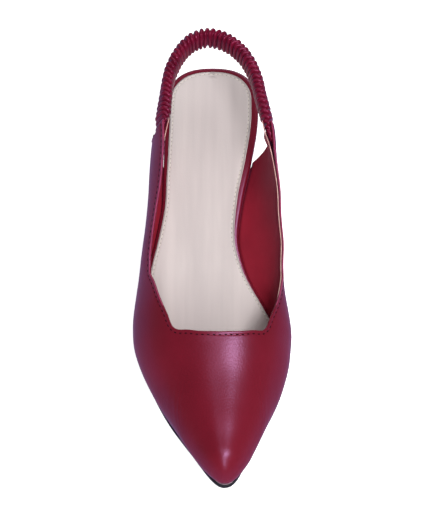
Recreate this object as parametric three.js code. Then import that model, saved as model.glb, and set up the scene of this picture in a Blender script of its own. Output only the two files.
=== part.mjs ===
// A slingback shoe for the right foot: pointed toe, low-cut vamp, open waist, gathered elastic
// strap round the back, covered block heel. Millimetres, +Z up, toe towards -Y, inner side of
// the foot towards +X, standing on z = 0 with the origin below the middle of its box.
import * as THREE from "three";
import { mergeVertices } from "three/addons/utils/BufferGeometryUtils.js";

// The last in plan. Stations run forward from the back of the seat.
const lastLength = 243.5;
const ballWidth = 82;
const waistWidth = 47;
const seatWidth = 54;
const seatRound = 22;
const seatFullness = 2.3;
const toeRound = 14;
const toeFullness = 2;

// Heights
const heelHeight = 55;
const toeSpring = 7;
const instepHeight = 66;
const toeDepthRound = 11;

// Walls and layers
const clearance = 0.3;
const wallThickness = 1.6;
const lastingMargin = 6;
const soleThickness = 3;
const soleEdgeBevel = 0.4;
const boardThickness = 3.6;
const boardBevel = 0.8;
const sockThickness = 1.5;
const sockBevel = 0.5;
const sockEndsShort = 8;
const boardEndsShort = 3;

// How the wall turns under at the feather edge: shares of its thickness
const turnUnder = 0.25;
const turnOut = 0.85;
const turnUp = 0.45;

// How finely the surfaces are divided
const plateStations = 50;
const ribsPerRow = 2;
const ribSteps = 8;
const heelStations = 11;
const heelLevels = 9;
const strapSides = 12;

// The covered heel and its top lift
const breastAt = 54;
const heelBaseWidth = 36;
const heelBaseLength = 33;
const heelBaseAt = 4;
const breastHollow = 2;
const liftThickness = 6;
const heelFlare = 2.2;

// The gathered strap
const strapHeight = 13.6;
const strapThickness = 7;
const strapRise = 9;
const gatherPitch = 3.1;
const gatherDepth = 0.55;
const strapEndTaper = 10;
const strapSquareness = 0.65;
const strapEndShare = 0.75;
const strapHeldShare = 0.25;
const strapLead = 3.3;
const curveDivisions = 600;

// Outline of the insole board: shares of the length, then the reach to each side of the middle line
const planRows = [
  { at: 0.0, lateral: 0.49 * seatWidth, medial: 0.5 * seatWidth },
  { at: 0.12, lateral: 0.508 * seatWidth, medial: 0.505 * seatWidth },
  { at: 0.245, lateral: 0.6 * waistWidth, medial: 0.49 * waistWidth },
  { at: 0.33, lateral: 0.61 * waistWidth, medial: 0.383 * waistWidth },
  { at: 0.41, lateral: 0.69 * waistWidth, medial: 0.325 * waistWidth },
  { at: 0.47, lateral: 0.445 * ballWidth, medial: 0.23 * ballWidth },
  { at: 0.56, lateral: 0.494 * ballWidth, medial: 0.38 * ballWidth },
  { at: 0.61, lateral: 0.508 * ballWidth, medial: 0.455 * ballWidth },
  { at: 0.655, lateral: 0.502 * ballWidth, medial: 0.49 * ballWidth },
  { at: 0.7, lateral: 0.468 * ballWidth, medial: 0.488 * ballWidth },
  { at: 0.776, lateral: 0.376 * ballWidth, medial: 0.442 * ballWidth },
  { at: 0.838, lateral: 0.277 * ballWidth, medial: 0.37 * ballWidth },
  { at: 0.895, lateral: 0.17 * ballWidth, medial: 0.285 * ballWidth },
  { at: 0.955, lateral: 0.054 * ballWidth, medial: 0.2 * ballWidth },
  { at: 1.0, lateral: -0.004 * ballWidth, medial: 0.165 * ballWidth },
];

// Underside of the board: its share of the heel's rise, then of the toe spring
const bottomRows = [
  { at: 0.0, rise: 1.0, spring: 0 },
  { at: 0.12, rise: 0.945, spring: 0 },
  { at: 0.225, rise: 0.84, spring: 0 },
  { at: 0.33, rise: 0.64, spring: 0 },
  { at: 0.41, rise: 0.435, spring: 0 },
  { at: 0.47, rise: 0.28, spring: 0 },
  { at: 0.525, rise: 0.155, spring: 0 },
  { at: 0.575, rise: 0.075, spring: 0 },
  { at: 0.625, rise: 0.022, spring: 0 },
  { at: 0.67, rise: 0, spring: 0 },
  { at: 0.76, rise: 0, spring: 0 },
  { at: 0.84, rise: 0, spring: 0.14 },
  { at: 0.92, rise: 0, spring: 0.5 },
  { at: 1.0, rise: 0, spring: 1 },
];

// Crest over the foot and its shift from the middle of the outline, then the swell of each
// wall above the outline and how widely it rounds into the crest
const sectionRows = [
  { at: 0.0, crest: 1.12, shift: 0, swellOut: 0.1, swellIn: 0.1, roundOut: 0.14, roundIn: 0.14 },
  { at: 0.21, crest: 1.1, shift: 0.05, swellOut: 0.18, swellIn: 0.245, roundOut: 0.16, roundIn: 0.25 },
  { at: 0.27, crest: 1.075, shift: 0.065, swellOut: 0.22, swellIn: 0.33, roundOut: 0.16, roundIn: 0.31 },
  { at: 0.33, crest: 1.03, shift: 0.08, swellOut: 0.24, swellIn: 0.395, roundOut: 0.15, roundIn: 0.39 },
  { at: 0.41, crest: 0.97, shift: 0.1, swellOut: 0.195, swellIn: 0.45, roundOut: 0.12, roundIn: 0.48 },
  { at: 0.47, crest: 0.91, shift: 0.095, swellOut: 0.15, swellIn: 0.45, roundOut: 0.11, roundIn: 0.46 },
  { at: 0.515, crest: 0.865, shift: 0.09, swellOut: 0.12, swellIn: 0.365, roundOut: 0.12, roundIn: 0.38 },
  { at: 0.56, crest: 0.81, shift: 0.075, swellOut: 0.115, swellIn: 0.26, roundOut: 0.18, roundIn: 0.34 },
  { at: 0.61, crest: 0.75, shift: 0.06, swellOut: 0.115, swellIn: 0.18, roundOut: 0.26, roundIn: 0.34 },
  { at: 0.7, crest: 0.625, shift: 0.04, swellOut: 0.115, swellIn: 0.11, roundOut: 0.31, roundIn: 0.31 },
  { at: 0.78, crest: 0.5, shift: 0.025, swellOut: 0.1, swellIn: 0.09, roundOut: 0.24, roundIn: 0.23 },
  { at: 0.895, crest: 0.325, shift: 0.01, swellOut: 0.085, swellIn: 0.085, roundOut: 0.12, roundIn: 0.12 },
  { at: 0.96, crest: 0.225, shift: 0, swellOut: 0.07, swellIn: 0.07, roundOut: 0.07, roundIn: 0.07 },
  { at: 1.0, crest: 0.175, shift: 0, swellOut: 0.05, swellIn: 0.05, roundOut: 0.05, roundIn: 0.05 },
];
const swellHeight = 0.42;

// Ribs of the upper from the end of a quarter to the toe. Each runs from the lower edge to the
// topline: its stations as shares of the length, and its climb from the outline to the crest.
const ribRows = [
  { rib: 0, foot: 0.24, footClimb: 0.33, margin: 0, top: 0.238, topOut: 0.458, topIn: 0.442, ease: 1 },
  { rib: 1, foot: 0.238, footClimb: 0.24, margin: 0, top: 0.252, topOut: 0.468, topIn: 0.445, ease: 1 },
  { rib: 2, foot: 0.2375, footClimb: 0.165, margin: 0, top: 0.268, topOut: 0.478, topIn: 0.45, ease: 1 },
  { rib: 3, foot: 0.2375, footClimb: 0.1, margin: 0, top: 0.286, topOut: 0.485, topIn: 0.458, ease: 1 },
  { rib: 4, foot: 0.238, footClimb: 0.045, margin: 0, top: 0.308, topOut: 0.489, topIn: 0.466, ease: 1 },
  { rib: 5, foot: 0.24, footClimb: 0, margin: 0, top: 0.335, topOut: 0.482, topIn: 0.468, ease: 1 },
  { rib: 6, foot: 0.31, footClimb: 0, margin: 1, top: 0.372, topOut: 0.462, topIn: 0.46, ease: 1 },
  { rib: 7, foot: 0.39, footClimb: 0, margin: 1, top: 0.416, topOut: 0.419, topIn: 0.45, ease: 1 },
  { rib: 8, foot: 0.465, footClimb: 0, margin: 1, top: 0.46, topOut: 0.387, topIn: 0.4, ease: 1 },
  { rib: 9, foot: 0.53, footClimb: 0, margin: 1, top: 0.5, topOut: 0.366, topIn: 0.358, ease: 1 },
  { rib: 10, foot: 0.585, footClimb: 0, margin: 1, top: 0.528, topOut: 0.377, topIn: 0.354, ease: 1 },
  { rib: 11, foot: 0.635, footClimb: 0, margin: 1, top: 0.564, topOut: 0.46, topIn: 0.42, ease: 1 },
  { rib: 12, foot: 0.685, footClimb: 0, margin: 1, top: 0.604, topOut: 0.542, topIn: 0.505, ease: 1 },
  { rib: 13, foot: 0.74, footClimb: 0, margin: 1, top: 0.645, topOut: 0.614, topIn: 0.588, ease: 1 },
  { rib: 14, foot: 0.793, footClimb: 0, margin: 1, top: 0.677, topOut: 0.668, topIn: 0.64, ease: 1.05 },
  { rib: 15, foot: 0.845, footClimb: 0, margin: 1, top: 0.691, topOut: 0.728, topIn: 0.695, ease: 1.1 },
  { rib: 16, foot: 0.894, footClimb: 0, margin: 1, top: 0.695, topOut: 0.79, topIn: 0.765, ease: 1.2 },
  { rib: 17, foot: 0.9425, footClimb: 0, margin: 1, top: 0.6985, topOut: 0.85, topIn: 0.835, ease: 1.35 },
  { rib: 18, foot: 0.9603, footClimb: 0, margin: 1, top: 0.7, topOut: 0.885, topIn: 0.875, ease: 1.5 },
  { rib: 19, foot: 0.9763, footClimb: 0, margin: 1, top: 0.701, topOut: 0.91, topIn: 0.905, ease: 1.7 },
  { rib: 20, foot: 0.989, footClimb: 0, margin: 1, top: 0.7015, topOut: 0.935, topIn: 0.93, ease: 1.85 },
  { rib: 21, foot: 0.9972, footClimb: 0, margin: 1, top: 0.702, topOut: 0.955, topIn: 0.953, ease: 1.95 },
  { rib: 22, foot: 1, footClimb: 0, margin: 1, top: 0.7022, topOut: 0.97, topIn: 0.97, ease: 2 },
  { rib: 23, foot: 1, footClimb: 0.5, margin: 1, top: 0.7025, topOut: 0.985, topIn: 0.985, ease: 2 },
  { rib: 24, foot: 1, footClimb: 1, margin: 1, top: 0.7025, topOut: 1, topIn: 1, ease: 2 },
];

// The strap's middle line from the outer quarter round the back to the inner quarter
const slingRows = [
  { at: 0.175, across: -0.324, lift: 0.4 },
  { at: 0.108, across: -0.29, lift: 0.73 },
  { at: 0.054, across: -0.22, lift: 0.93 },
  { at: 0.02, across: -0.13, lift: 0.99 },
  { at: 0.009, across: -0.035, lift: 1 },
  { at: 0.016, across: 0.065, lift: 0.99 },
  { at: 0.037, across: 0.158, lift: 0.96 },
  { at: 0.076, across: 0.248, lift: 0.87 },
  { at: 0.138, across: 0.318, lift: 0.58 },
  { at: 0.175, across: 0.341, lift: 0.4 },
];

// Edge of the outsole beyond the board's outline, in soles' thicknesses
const soleRows = [
  { at: 0.2, reach: -0.87 },
  { at: 0.45, reach: -0.8 },
  { at: 0.6, reach: 0 },
  { at: 0.8, reach: 0.15 },
  { at: 0.93, reach: 0.35 },
  { at: 1.0, reach: 1 },
];

// How far the sock stops inside the board's outline on each side, in boards' thicknesses
const sockRows = [
  { at: 0.0, insetOut: 0.6, insetIn: 0.6 },
  { at: 0.05, insetOut: 0.8, insetIn: 0.95 },
  { at: 0.1, insetOut: 0.8, insetIn: 0.98 },
  { at: 0.22, insetOut: 0.72, insetIn: 1.0 },
  { at: 0.3, insetOut: 0.52, insetIn: 0.95 },
  { at: 0.42, insetOut: 0.5, insetIn: 0.6 },
  { at: 0.6, insetOut: 0.47, insetIn: 0.47 },
  { at: 1.0, insetOut: 0.6, insetIn: 0.6 },
];

const outSide = -1;
const inSide = 1;
const up = new THREE.Vector3(0, 0, 1);
const toeward = new THREE.Vector3(0, -1, 0);

// A column of a table at any value of its key, as a monotone cubic through the rows
function column(rows, key, name, value) {
  const last = rows.length - 1;
  let i = 0;
  while (i < last - 1 && value > rows[i + 1][key]) i += 1;
  const step = (j) => rows[j + 1][key] - rows[j][key];
  const slope = (j) => (rows[j + 1][name] - rows[j][name]) / step(j);
  const tangent = (j) => {
    if (j === 0) return slope(0);
    if (j === last) return slope(last - 1);
    const [before, after] = [slope(j - 1), slope(j)];
    if (before * after <= 0) return 0;
    const [wide, narrow] = [2 * step(j) + step(j - 1), step(j) + 2 * step(j - 1)];
    return (wide + narrow) / (wide / before + narrow / after);
  };
  const h = step(i);
  const u = THREE.MathUtils.clamp((value - rows[i][key]) / h, 0, 1);
  const [u2, u3] = [u * u, u * u * u];
  return (
    (2 * u3 - 3 * u2 + 1) * rows[i][name] +
    (u3 - 2 * u2 + u) * h * tangent(i) +
    (3 * u2 - 2 * u3) * rows[i + 1][name] +
    (u3 - u2) * h * tangent(i + 1)
  );
}

const along = (rows, name, station) => column(rows, "at", name, station / lastLength);

// Rises from 0 at a rounded end to 1 past its round
function roundEnd(distance, length, power) {
  const left = THREE.MathUtils.clamp(1 - distance / length, 0, 1);
  return Math.pow(1 - Math.pow(left, power), 1 / power);
}

const toeClosing = (station) => roundEnd(lastLength - station, toeRound, toeFullness);

// The board's outline: x on one side of the foot at a station
function outlineX(side, station) {
  const middle = outlineMiddle(station);
  const half = (along(planRows, "medial", station) + along(planRows, "lateral", station)) / 2;
  return middle + side * half * roundEnd(station, seatRound, seatFullness) * toeClosing(station);
}

function outlineMiddle(station) {
  return (along(planRows, "medial", station) - along(planRows, "lateral", station)) / 2;
}

// A point of the outline moved outwards in plan
function edgePoint(side, station, reach) {
  const ds = 0.02;
  if (station < 2 * ds) return { x: outlineMiddle(0), station: -reach };
  if (station > lastLength - 2 * ds) return { x: outlineMiddle(lastLength), station: lastLength + reach };
  const lean = (outlineX(side, station + ds) - outlineX(side, station - ds)) / (2 * ds);
  const outward = new THREE.Vector2(side, -side * lean).normalize();
  return { x: outlineX(side, station) + outward.x * reach, station: station + outward.y * reach };
}

// Height of the board's underside
const layersUnderBoard = soleThickness + clearance + wallThickness + clearance;
function bottomZ(station) {
  const rise = along(bottomRows, "rise", station) * (heelHeight - layersUnderBoard);
  return layersUnderBoard + rise + along(bottomRows, "spring", station) * toeSpring;
}

// A point at a level above the board's underside, inside or outside the outline
function edgeAt(side, station, reach, level) {
  const edge = edgePoint(side, station, reach);
  return new THREE.Vector3(edge.x, -edge.station, bottomZ(edge.station) + level);
}

// A point of the last: climb runs from 0 at the outline to 1 at the crest
function lastPoint(side, station, climb) {
  const name = side === outSide ? "Out" : "In";
  const foot = outlineX(side, station);
  const closing = toeClosing(station);
  const crest = along(sectionRows, "crest", station) * instepHeight;
  const height = crest * roundEnd(lastLength - station, toeDepthRound, toeFullness);
  const middle = outlineMiddle(station) + along(sectionRows, "shift", station) * ballWidth;
  const swell = along(sectionRows, "swell" + name, station) * ballWidth * closing;
  const round = along(sectionRows, "round" + name, station) * ballWidth * closing;
  const left = 1 - climb;
  const [a, b] = [left ** 3, 3 * left ** 2 * climb];
  const [c, d] = [3 * left * climb ** 2, climb ** 3];
  return new THREE.Vector3(
    a * foot + b * (foot + side * swell) + c * (middle + side * round) + d * middle,
    -station,
    bottomZ(station) + height * (b * swellHeight + c + d),
  );
}

// Outward normal of the last at the same place
function lastNormal(side, station, climb) {
  const ds = 0.05;
  const dc = 0.002;
  if (station > lastLength - ds) return toeward.clone();
  const s0 = Math.min(Math.max(station, ds), lastLength - 2 * ds);
  const c0 = Math.min(Math.max(climb, dc), 1 - dc);
  const lengthwise = lastPoint(side, s0 + ds, c0).sub(lastPoint(side, s0 - ds, c0));
  const upward = lastPoint(side, s0, c0 + dc).sub(lastPoint(side, s0, c0 - dc));
  const normal = lengthwise.cross(upward).multiplyScalar(-side);
  if (climb > 1 - dc) normal.x = 0;
  return normal.normalize();
}

// Turns points and faces into a closed mesh: shared points merged, faces outwards
function solid(points, faces) {
  const raw = new THREE.BufferGeometry();
  const numbers = points.flatMap((p) => [p.x, p.y, p.z]);
  raw.setAttribute("position", new THREE.Float32BufferAttribute(numbers, 3));
  raw.setIndex(faces.flat());
  const merged = mergeVertices(raw, 1e-3);
  const corner = (i) => new THREE.Vector3().fromBufferAttribute(merged.attributes.position, i);
  const kept = [];
  let volume = 0;
  for (let i = 0; i < merged.index.count; i += 3) {
    const [a, b, c] = [0, 1, 2].map((k) => merged.index.getX(i + k));
    if (a === b || b === c || c === a) continue;
    kept.push([a, b, c]);
    volume += corner(a).dot(corner(b).cross(corner(c)));
  }
  merged.setIndex((volume < 0 ? kept.map(([a, b, c]) => [a, c, b]) : kept).flat());
  merged.computeVertexNormals();
  return merged;
}

// A solid through rings of equal count. The two halves of an end ring are joined rung by rung.
function ringSolid(rings) {
  const count = rings[0].length;
  const faces = [];
  for (let i = 0; i < rings.length - 1; i += 1)
    for (let j = 0; j < count; j += 1) {
      const [a, b] = [i * count + j, i * count + ((j + 1) % count)];
      faces.push([a, b, b + count], [a, b + count, a + count]);
    }
  const end = (rings.length - 1) * count;
  for (let j = 0; j < count / 2 - 1; j += 1) {
    const [a, b, c, d] = [j, j + 1, count - 2 - j, count - 1 - j];
    faces.push([a, c, b], [a, d, c]);
    faces.push([end + a, end + b, end + c], [end + a, end + c, end + d]);
  }
  return solid(rings.flat(), faces);
}

// Stations packed towards both round ends
function packedStations(from, to, count) {
  return Array.from({ length: count + 1 }, (_, i) => {
    return from + ((to - from) * (1 - Math.cos((Math.PI * i) / count))) / 2;
  });
}

// A plate that follows the last's bottom, with bevelled upper edges
function plate({ from, to, reach, under, thickness, bevel }) {
  const rings = packedStations(from, to, plateStations).map((station) => {
    const low = under(station);
    const edge = (side, inset, level) => {
      const place = edgePoint(side, station, reach(station, side) - inset);
      const squared = Math.max(place.station, from);
      return new THREE.Vector3(place.x, -squared, bottomZ(squared) + level);
    };
    return [
      edge(outSide, 0, low),
      edge(outSide, 0, low + thickness - bevel),
      edge(outSide, bevel, low + thickness),
      edge(inSide, bevel, low + thickness),
      edge(inSide, 0, low + thickness - bevel),
      edge(inSide, 0, low),
    ];
  });
  return ringSolid(rings);
}

// The outsole drops below the upper's lasted margin where the quarters begin
function outsole() {
  const quartersBegin = ribRows.find((row) => row.footClimb === 0).foot * lastLength;
  const drop = (station) => {
    const share = THREE.MathUtils.smoothstep(station, breastAt, quartersBegin - clearance);
    return clearance + share * (wallThickness + clearance);
  };
  return plate({
    from: breastAt + clearance,
    to: lastLength,
    reach: (station) => along(soleRows, "reach", station) * soleThickness,
    under: (station) => -drop(station) - soleThickness,
    thickness: soleThickness,
    bevel: soleEdgeBevel,
  });
}

function insoleBoard() {
  return plate({
    from: 0,
    to: lastLength - boardEndsShort,
    reach: () => -clearance,
    under: () => 0,
    thickness: boardThickness,
    bevel: boardBevel,
  });
}

function sock() {
  const inset = (station, side) => along(sockRows, side === outSide ? "insetOut" : "insetIn", station);
  return plate({
    from: 0,
    to: lastLength - sockEndsShort,
    reach: (station, side) => -clearance - inset(station, side) * boardThickness,
    under: () => boardThickness + clearance,
    thickness: sockThickness,
    bevel: sockBevel,
  });
}

// Outline of the heel at its seat, from the breast round the back to the breast
function seatOutline() {
  const stations = packedStations(0, 2 * breastAt, 2 * heelStations).slice(0, heelStations + 1);
  const half = (side) =>
    stations.map((station) => {
      const edge = edgePoint(side, station, -clearance);
      return new THREE.Vector2(edge.x, Math.min(edge.station, breastAt));
    });
  return [...half(outSide).reverse(), ...half(inSide)];
}

// The same outline at the size of the heel's base
function baseOutline() {
  const seat = seatOutline();
  const reaches = seat.map((point) => point.x);
  const [low, high] = [Math.min(...reaches), Math.max(...reaches)];
  const middle = (low + high) / 2;
  return seat.map(
    (point) =>
      new THREE.Vector2(
        middle + ((point.x - middle) * heelBaseWidth) / (high - low),
        heelBaseAt + (point.y * heelBaseLength) / breastAt,
      ),
  );
}

function heel() {
  const seat = seatOutline();
  const base = baseOutline();
  const rings = Array.from({ length: heelLevels + 1 }, (_, step) => {
    const level = step / heelLevels;
    const flare = level ** heelFlare;
    return seat.map((point, i) => {
      const station = base[i].y + (point.y - base[i].y) * flare;
      const arch = 1 - (2 * level - 1) ** 2;
      const hollow = breastHollow * arch * (point.y / breastAt) ** 2;
      const x = base[i].x + (point.x - base[i].x) * flare;
      const top = bottomZ(point.y) - clearance;
      return new THREE.Vector3(x, -(station - hollow), liftThickness + (top - liftThickness) * level);
    });
  });
  return ringSolid(rings);
}

function topLift() {
  const ring = (z) => baseOutline().map((point) => new THREE.Vector3(point.x, -point.y, z));
  return ringSolid([ring(0), ring(liftThickness)]);
}

// Place on the last of a point of a rib of the upper
function ribPlace(side, rib, share) {
  const pick = (name) => column(ribRows, "rib", name, rib);
  const eased = share ** pick("ease");
  const top = pick(side === outSide ? "topOut" : "topIn");
  return {
    station: (pick("foot") + (pick("top") - pick("foot")) * eased) * lastLength,
    climb: pick("footClimb") + (top - pick("footClimb")) * eased,
  };
}

// One rib as matching rows of inner and outer points, from the lasted margin to the topline
function ribPoints(side, rib, steps) {
  const inner = [];
  const outer = [];
  for (let i = 0; i <= steps; i += 1) {
    const { station, climb } = ribPlace(side, rib, i / steps);
    const point = lastPoint(side, station, climb);
    inner.push(point);
    outer.push(lastNormal(side, station, climb).multiplyScalar(wallThickness).add(point));
  }
  const foot = ribPlace(side, rib, 0).station;
  const margin = column(ribRows, "rib", "margin", rib) * lastingMargin;
  const level = -clearance - wallThickness;
  if (margin > 0) {
    const turn = edgeAt(side, foot, 0, -clearance);
    inner.unshift(edgeAt(side, foot, -margin, -clearance), turn, turn);
    outer.unshift(
      edgeAt(side, foot, -margin, level),
      edgeAt(side, foot, wallThickness * turnUnder, level),
      edgeAt(side, foot, wallThickness * turnOut, level + wallThickness * turnUp),
    );
  } else {
    inner.unshift(inner[0], inner[0], inner[0]);
    outer.unshift(outer[0], outer[0], outer[0]);
  }
  return { inner, outer };
}

// The upper: one wall from the outer quarter round the toe to the inner quarter
function upper() {
  const perSide = ribsPerRow * (ribRows.length - 1);
  const ribs = [];
  for (let i = 0; i <= perSide; i += 1) ribs.push(ribPoints(outSide, i / ribsPerRow, ribSteps));
  for (let i = perSide - 1; i >= 0; i -= 1) ribs.push(ribPoints(inSide, i / ribsPerRow, ribSteps));
  return ringSolid(ribs.map(({ inner, outer }) => [...inner, ...[...outer].reverse()]));
}

// Where a quarter's end holds the strap: middle of the end, its upward and backward directions
function quarterEnd(side) {
  const { inner, outer } = ribPoints(side, 0, 2);
  const wall = (i) => inner[i].clone().add(outer[i]).multiplyScalar(0.5);
  const last = inner.length - 1;
  const { station, climb } = ribPlace(side, 0, 0.5);
  const back = lastPoint(side, station - 1, climb).sub(lastPoint(side, station + 1, climb));
  const upward = wall(last).sub(wall(last - 2)).normalize();
  back.addScaledVector(upward, -back.dot(upward)).normalize();
  return { middle: wall(last - 1), upward, back };
}

// The strap: gathered elastic with a ridge for each gather, flat where it meets the quarters
function slingStrap() {
  const ends = [quarterEnd(outSide), quarterEnd(inSide)];
  const lead = ends.map((end) => end.middle.clone().addScaledVector(end.back, clearance));
  const led = ends.map((end) => end.middle.clone().addScaledVector(end.back, strapLead));
  const tipZ = (lead[0].z + lead[1].z) / 2;
  const points = slingRows.map(
    (row) =>
      new THREE.Vector3(row.across * ballWidth, -row.at * lastLength, tipZ + row.lift * strapRise),
  );
  const curve = new THREE.CatmullRomCurve3([lead[0], led[0], ...points, led[1], lead[1]]);
  curve.arcLengthDivisions = curveDivisions;
  const length = curve.getLength();
  const gathers = Math.round(length / gatherPitch);
  const rings = [];
  for (let i = 0; i <= 2 * gathers; i += 1) {
    const u = i / (2 * gathers);
    const fromEnd = Math.min(u, 1 - u) * length;
    const full = THREE.MathUtils.smoothstep(fromEnd, 0, strapEndTaper);
    const gather = (i % 2) * gatherDepth * full;
    const high = strapHeight / 2 - gatherDepth + gather;
    const wide = strapThickness / 2 - gatherDepth + gather;
    const halfWide = THREE.MathUtils.lerp(wallThickness * strapEndShare, wide, full);
    const centre = curve.getPointAt(u);
    const tangent = curve.getTangentAt(u);
    const held = 1 - THREE.MathUtils.smoothstep(fromEnd, 0, length * strapHeldShare);
    const upright = up.clone().lerp(ends[u < 0.5 ? 0 : 1].upward, held);
    upright.addScaledVector(tangent, -upright.dot(tangent)).normalize();
    const across = tangent.clone().cross(upright);
    const ring = [];
    for (let k = 0; k < strapSides; k += 1) {
      const angle = ((k + 0.5) * 2 * Math.PI) / strapSides;
      const squared = (value) => Math.sign(value) * Math.abs(value) ** strapSquareness;
      const point = centre.clone().addScaledVector(upright, squared(Math.sin(angle)) * high);
      ring.push(point.addScaledVector(across, squared(Math.cos(angle)) * halfWide));
    }
    rings.push(ring);
  }
  return ringSolid(rings);
}

const finishes = {
  leather: { color: 0x751a26, roughness: 0.36, metalness: 0 },
  gathered: { color: 0x601930, roughness: 0.5, metalness: 0 },
  sock: { color: 0xd3cbc8, roughness: 0.7, metalness: 0 },
  rubber: { color: 0x17161a, roughness: 0.7, metalness: 0 },
};

function piece(name, geometry, finish) {
  const mesh = new THREE.Mesh(geometry, new THREE.MeshStandardMaterial(finishes[finish]));
  mesh.name = name;
  return mesh;
}

const shoe = new THREE.Group();
shoe.add(
  piece("outsole", outsole(), "rubber"),
  piece("top_lift", topLift(), "rubber"),
  piece("heel", heel(), "leather"),
  piece("insole_board", insoleBoard(), "leather"),
  piece("sock", sock(), "sock"),
  piece("upper", upper(), "leather"),
  piece("sling_strap", slingStrap(), "gathered"),
);

// The origin goes below the middle of the shoe's box
const box = new THREE.Box3().setFromObject(shoe);
const middle = box.getCenter(new THREE.Vector3());
shoe.position.set(-middle.x, -middle.y, 0);
shoe.updateMatrixWorld(true);

export default shoe;
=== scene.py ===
"""A slingback shoe for the right foot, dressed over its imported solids.

Pointed low-cut vamp, open waist, gathered elastic strap, padded sock and covered block heel.
The last is worked out from the sizes of the solids, in millimetres, with stations running
forward from the back of the seat, and each layer of the shoe lies on it.
"""

import logging
import math
from dataclasses import dataclass, field
from enum import Enum
from typing import Callable, Sequence

import bmesh
import bpy
import numpy as np
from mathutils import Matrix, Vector

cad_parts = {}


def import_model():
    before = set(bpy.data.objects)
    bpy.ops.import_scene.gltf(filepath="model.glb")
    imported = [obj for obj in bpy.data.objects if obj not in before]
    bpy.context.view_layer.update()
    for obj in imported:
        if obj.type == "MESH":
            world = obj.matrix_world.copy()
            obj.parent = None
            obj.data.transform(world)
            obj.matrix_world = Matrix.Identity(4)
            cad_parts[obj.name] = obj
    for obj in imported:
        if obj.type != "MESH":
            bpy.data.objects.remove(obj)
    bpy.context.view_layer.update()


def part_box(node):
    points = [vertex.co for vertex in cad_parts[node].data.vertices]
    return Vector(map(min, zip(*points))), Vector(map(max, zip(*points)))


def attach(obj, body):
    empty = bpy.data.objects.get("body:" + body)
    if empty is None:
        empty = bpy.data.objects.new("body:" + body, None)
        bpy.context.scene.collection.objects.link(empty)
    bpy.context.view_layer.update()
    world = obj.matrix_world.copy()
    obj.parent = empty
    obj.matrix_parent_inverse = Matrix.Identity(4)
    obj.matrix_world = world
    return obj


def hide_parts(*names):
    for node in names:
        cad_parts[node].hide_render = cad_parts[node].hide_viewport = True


LOG = logging.getLogger("slingback")
MM = 0.001
# Points nearer than this are merged, in metres.
MERGE = 2e-6
BODY = "root"
# The camera's aim: a station of the last and a height, in millimetres
CAMERA_AIMS_AT = 129.24
CAMERA_AIM_HEIGHT = 10.0
Array = np.ndarray
Settings = dict[str | int, object]


class Side(Enum):
    """The two sides of the foot, by the sign of x."""

    OUTER = -1.0
    INNER = 1.0


class Slot(Enum):
    """Material slots of the record."""

    UPPER = "upper_leather"
    LINING = "lining_leather"
    GATHERED = "gathered_leather"
    SOCK = "sock_leather"
    RUBBER = "sole_rubber"


def linear(hex_colour: str) -> tuple[float, float, float, float]:
    """Turns an sRGB hex colour to linear light.

    Args:
        hex_colour: Six hex digits after a hash.

    Returns:
        Red, green, blue and alpha.
    """
    parts = [int(hex_colour[i : i + 2], 16) / 255 for i in (1, 3, 5)]
    light = [p / 12.92 if p <= 0.04045 else ((p + 0.055) / 1.055) ** 2.4 for p in parts]
    return (light[0], light[1], light[2], 1.0)


def smoothstep(value: Array | float, low: float, high: float) -> Array:
    """Rises softly from 0 at low to 1 at high.

    Args:
        value: Where it is read.
        low: Start of the rise.
        high: End of the rise.

    Returns:
        The share, between 0 and 1.
    """
    t = np.clip((np.asarray(value, float) - low) / (high - low), 0, 1)
    return t * t * (3 - 2 * t)


def unit(vectors: Array) -> Array:
    """Vectors at length one."""
    return vectors / np.maximum(np.linalg.norm(vectors, axis=-1, keepdims=True), 1e-12)


class Column:
    """One column of a table: a monotone cubic through its rows, softened a little."""

    SAMPLES = 1201

    def __init__(self, keys: Sequence[float], values: Sequence[float], soften: float = 0.0) -> None:
        """Samples the curve.

        Args:
            keys: Where the rows stand.
            values: The column's values.
            soften: Spread of the softening, in the keys' own unit.
        """
        x = np.asarray(keys, float)
        y = np.asarray(values, float)
        h = np.diff(x)
        slope = np.diff(y) / h
        tangent = np.concatenate([slope[:1], np.zeros(len(x) - 2), slope[-1:]])
        for j in range(1, len(x) - 1):
            if slope[j - 1] * slope[j] > 0:
                wide = 2 * h[j] + h[j - 1]
                narrow = h[j] + 2 * h[j - 1]
                tangent[j] = (wide + narrow) / (wide / slope[j - 1] + narrow / slope[j])
        self.at = np.linspace(x[0], x[-1], self.SAMPLES)
        i = np.clip(np.searchsorted(x, self.at, side="right") - 1, 0, len(x) - 2)
        u = (self.at - x[i]) / h[i]
        self.values = (
            (2 * u**3 - 3 * u**2 + 1) * y[i]
            + (u**3 - 2 * u**2 + u) * h[i] * tangent[i]
            + (3 * u**2 - 2 * u**3) * y[i + 1]
            + (u**3 - u**2) * h[i] * tangent[i + 1]
        )
        if soften > 0:
            self._soften(soften / (self.at[1] - self.at[0]))

    def _soften(self, spread: float) -> None:
        """Averages each value with its neighbours.

        Args:
            spread: Standard deviation in samples.
        """
        reach = int(3 * spread) + 1
        weights = np.exp(-0.5 * (np.arange(-reach, reach + 1) / spread) ** 2)
        before = 2 * self.values[0] - self.values[reach:0:-1]
        after = 2 * self.values[-1] - self.values[-2 : -reach - 2 : -1]
        padded = np.concatenate([before, self.values, after])
        self.values = np.convolve(padded, weights / weights.sum(), mode="valid")

    def __call__(self, at: Array | float) -> Array:
        """The column's value at a key."""
        return np.interp(at, self.at, self.values)


def read_table(
    names: Sequence[str], rows: Sequence[Sequence[float]], soften: float = 0.0
) -> dict[str, Column]:
    """Turns a table whose rows start with their key into named columns.

    Args:
        names: Names of the columns after the key.
        rows: The table.
        soften: Spread of the softening, in the keys' own unit.

    Returns:
        The columns by name.
    """
    keys = [row[0] for row in rows]
    return {name: Column(keys, [row[k + 1] for row in rows], soften) for k, name in enumerate(names)}


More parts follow.
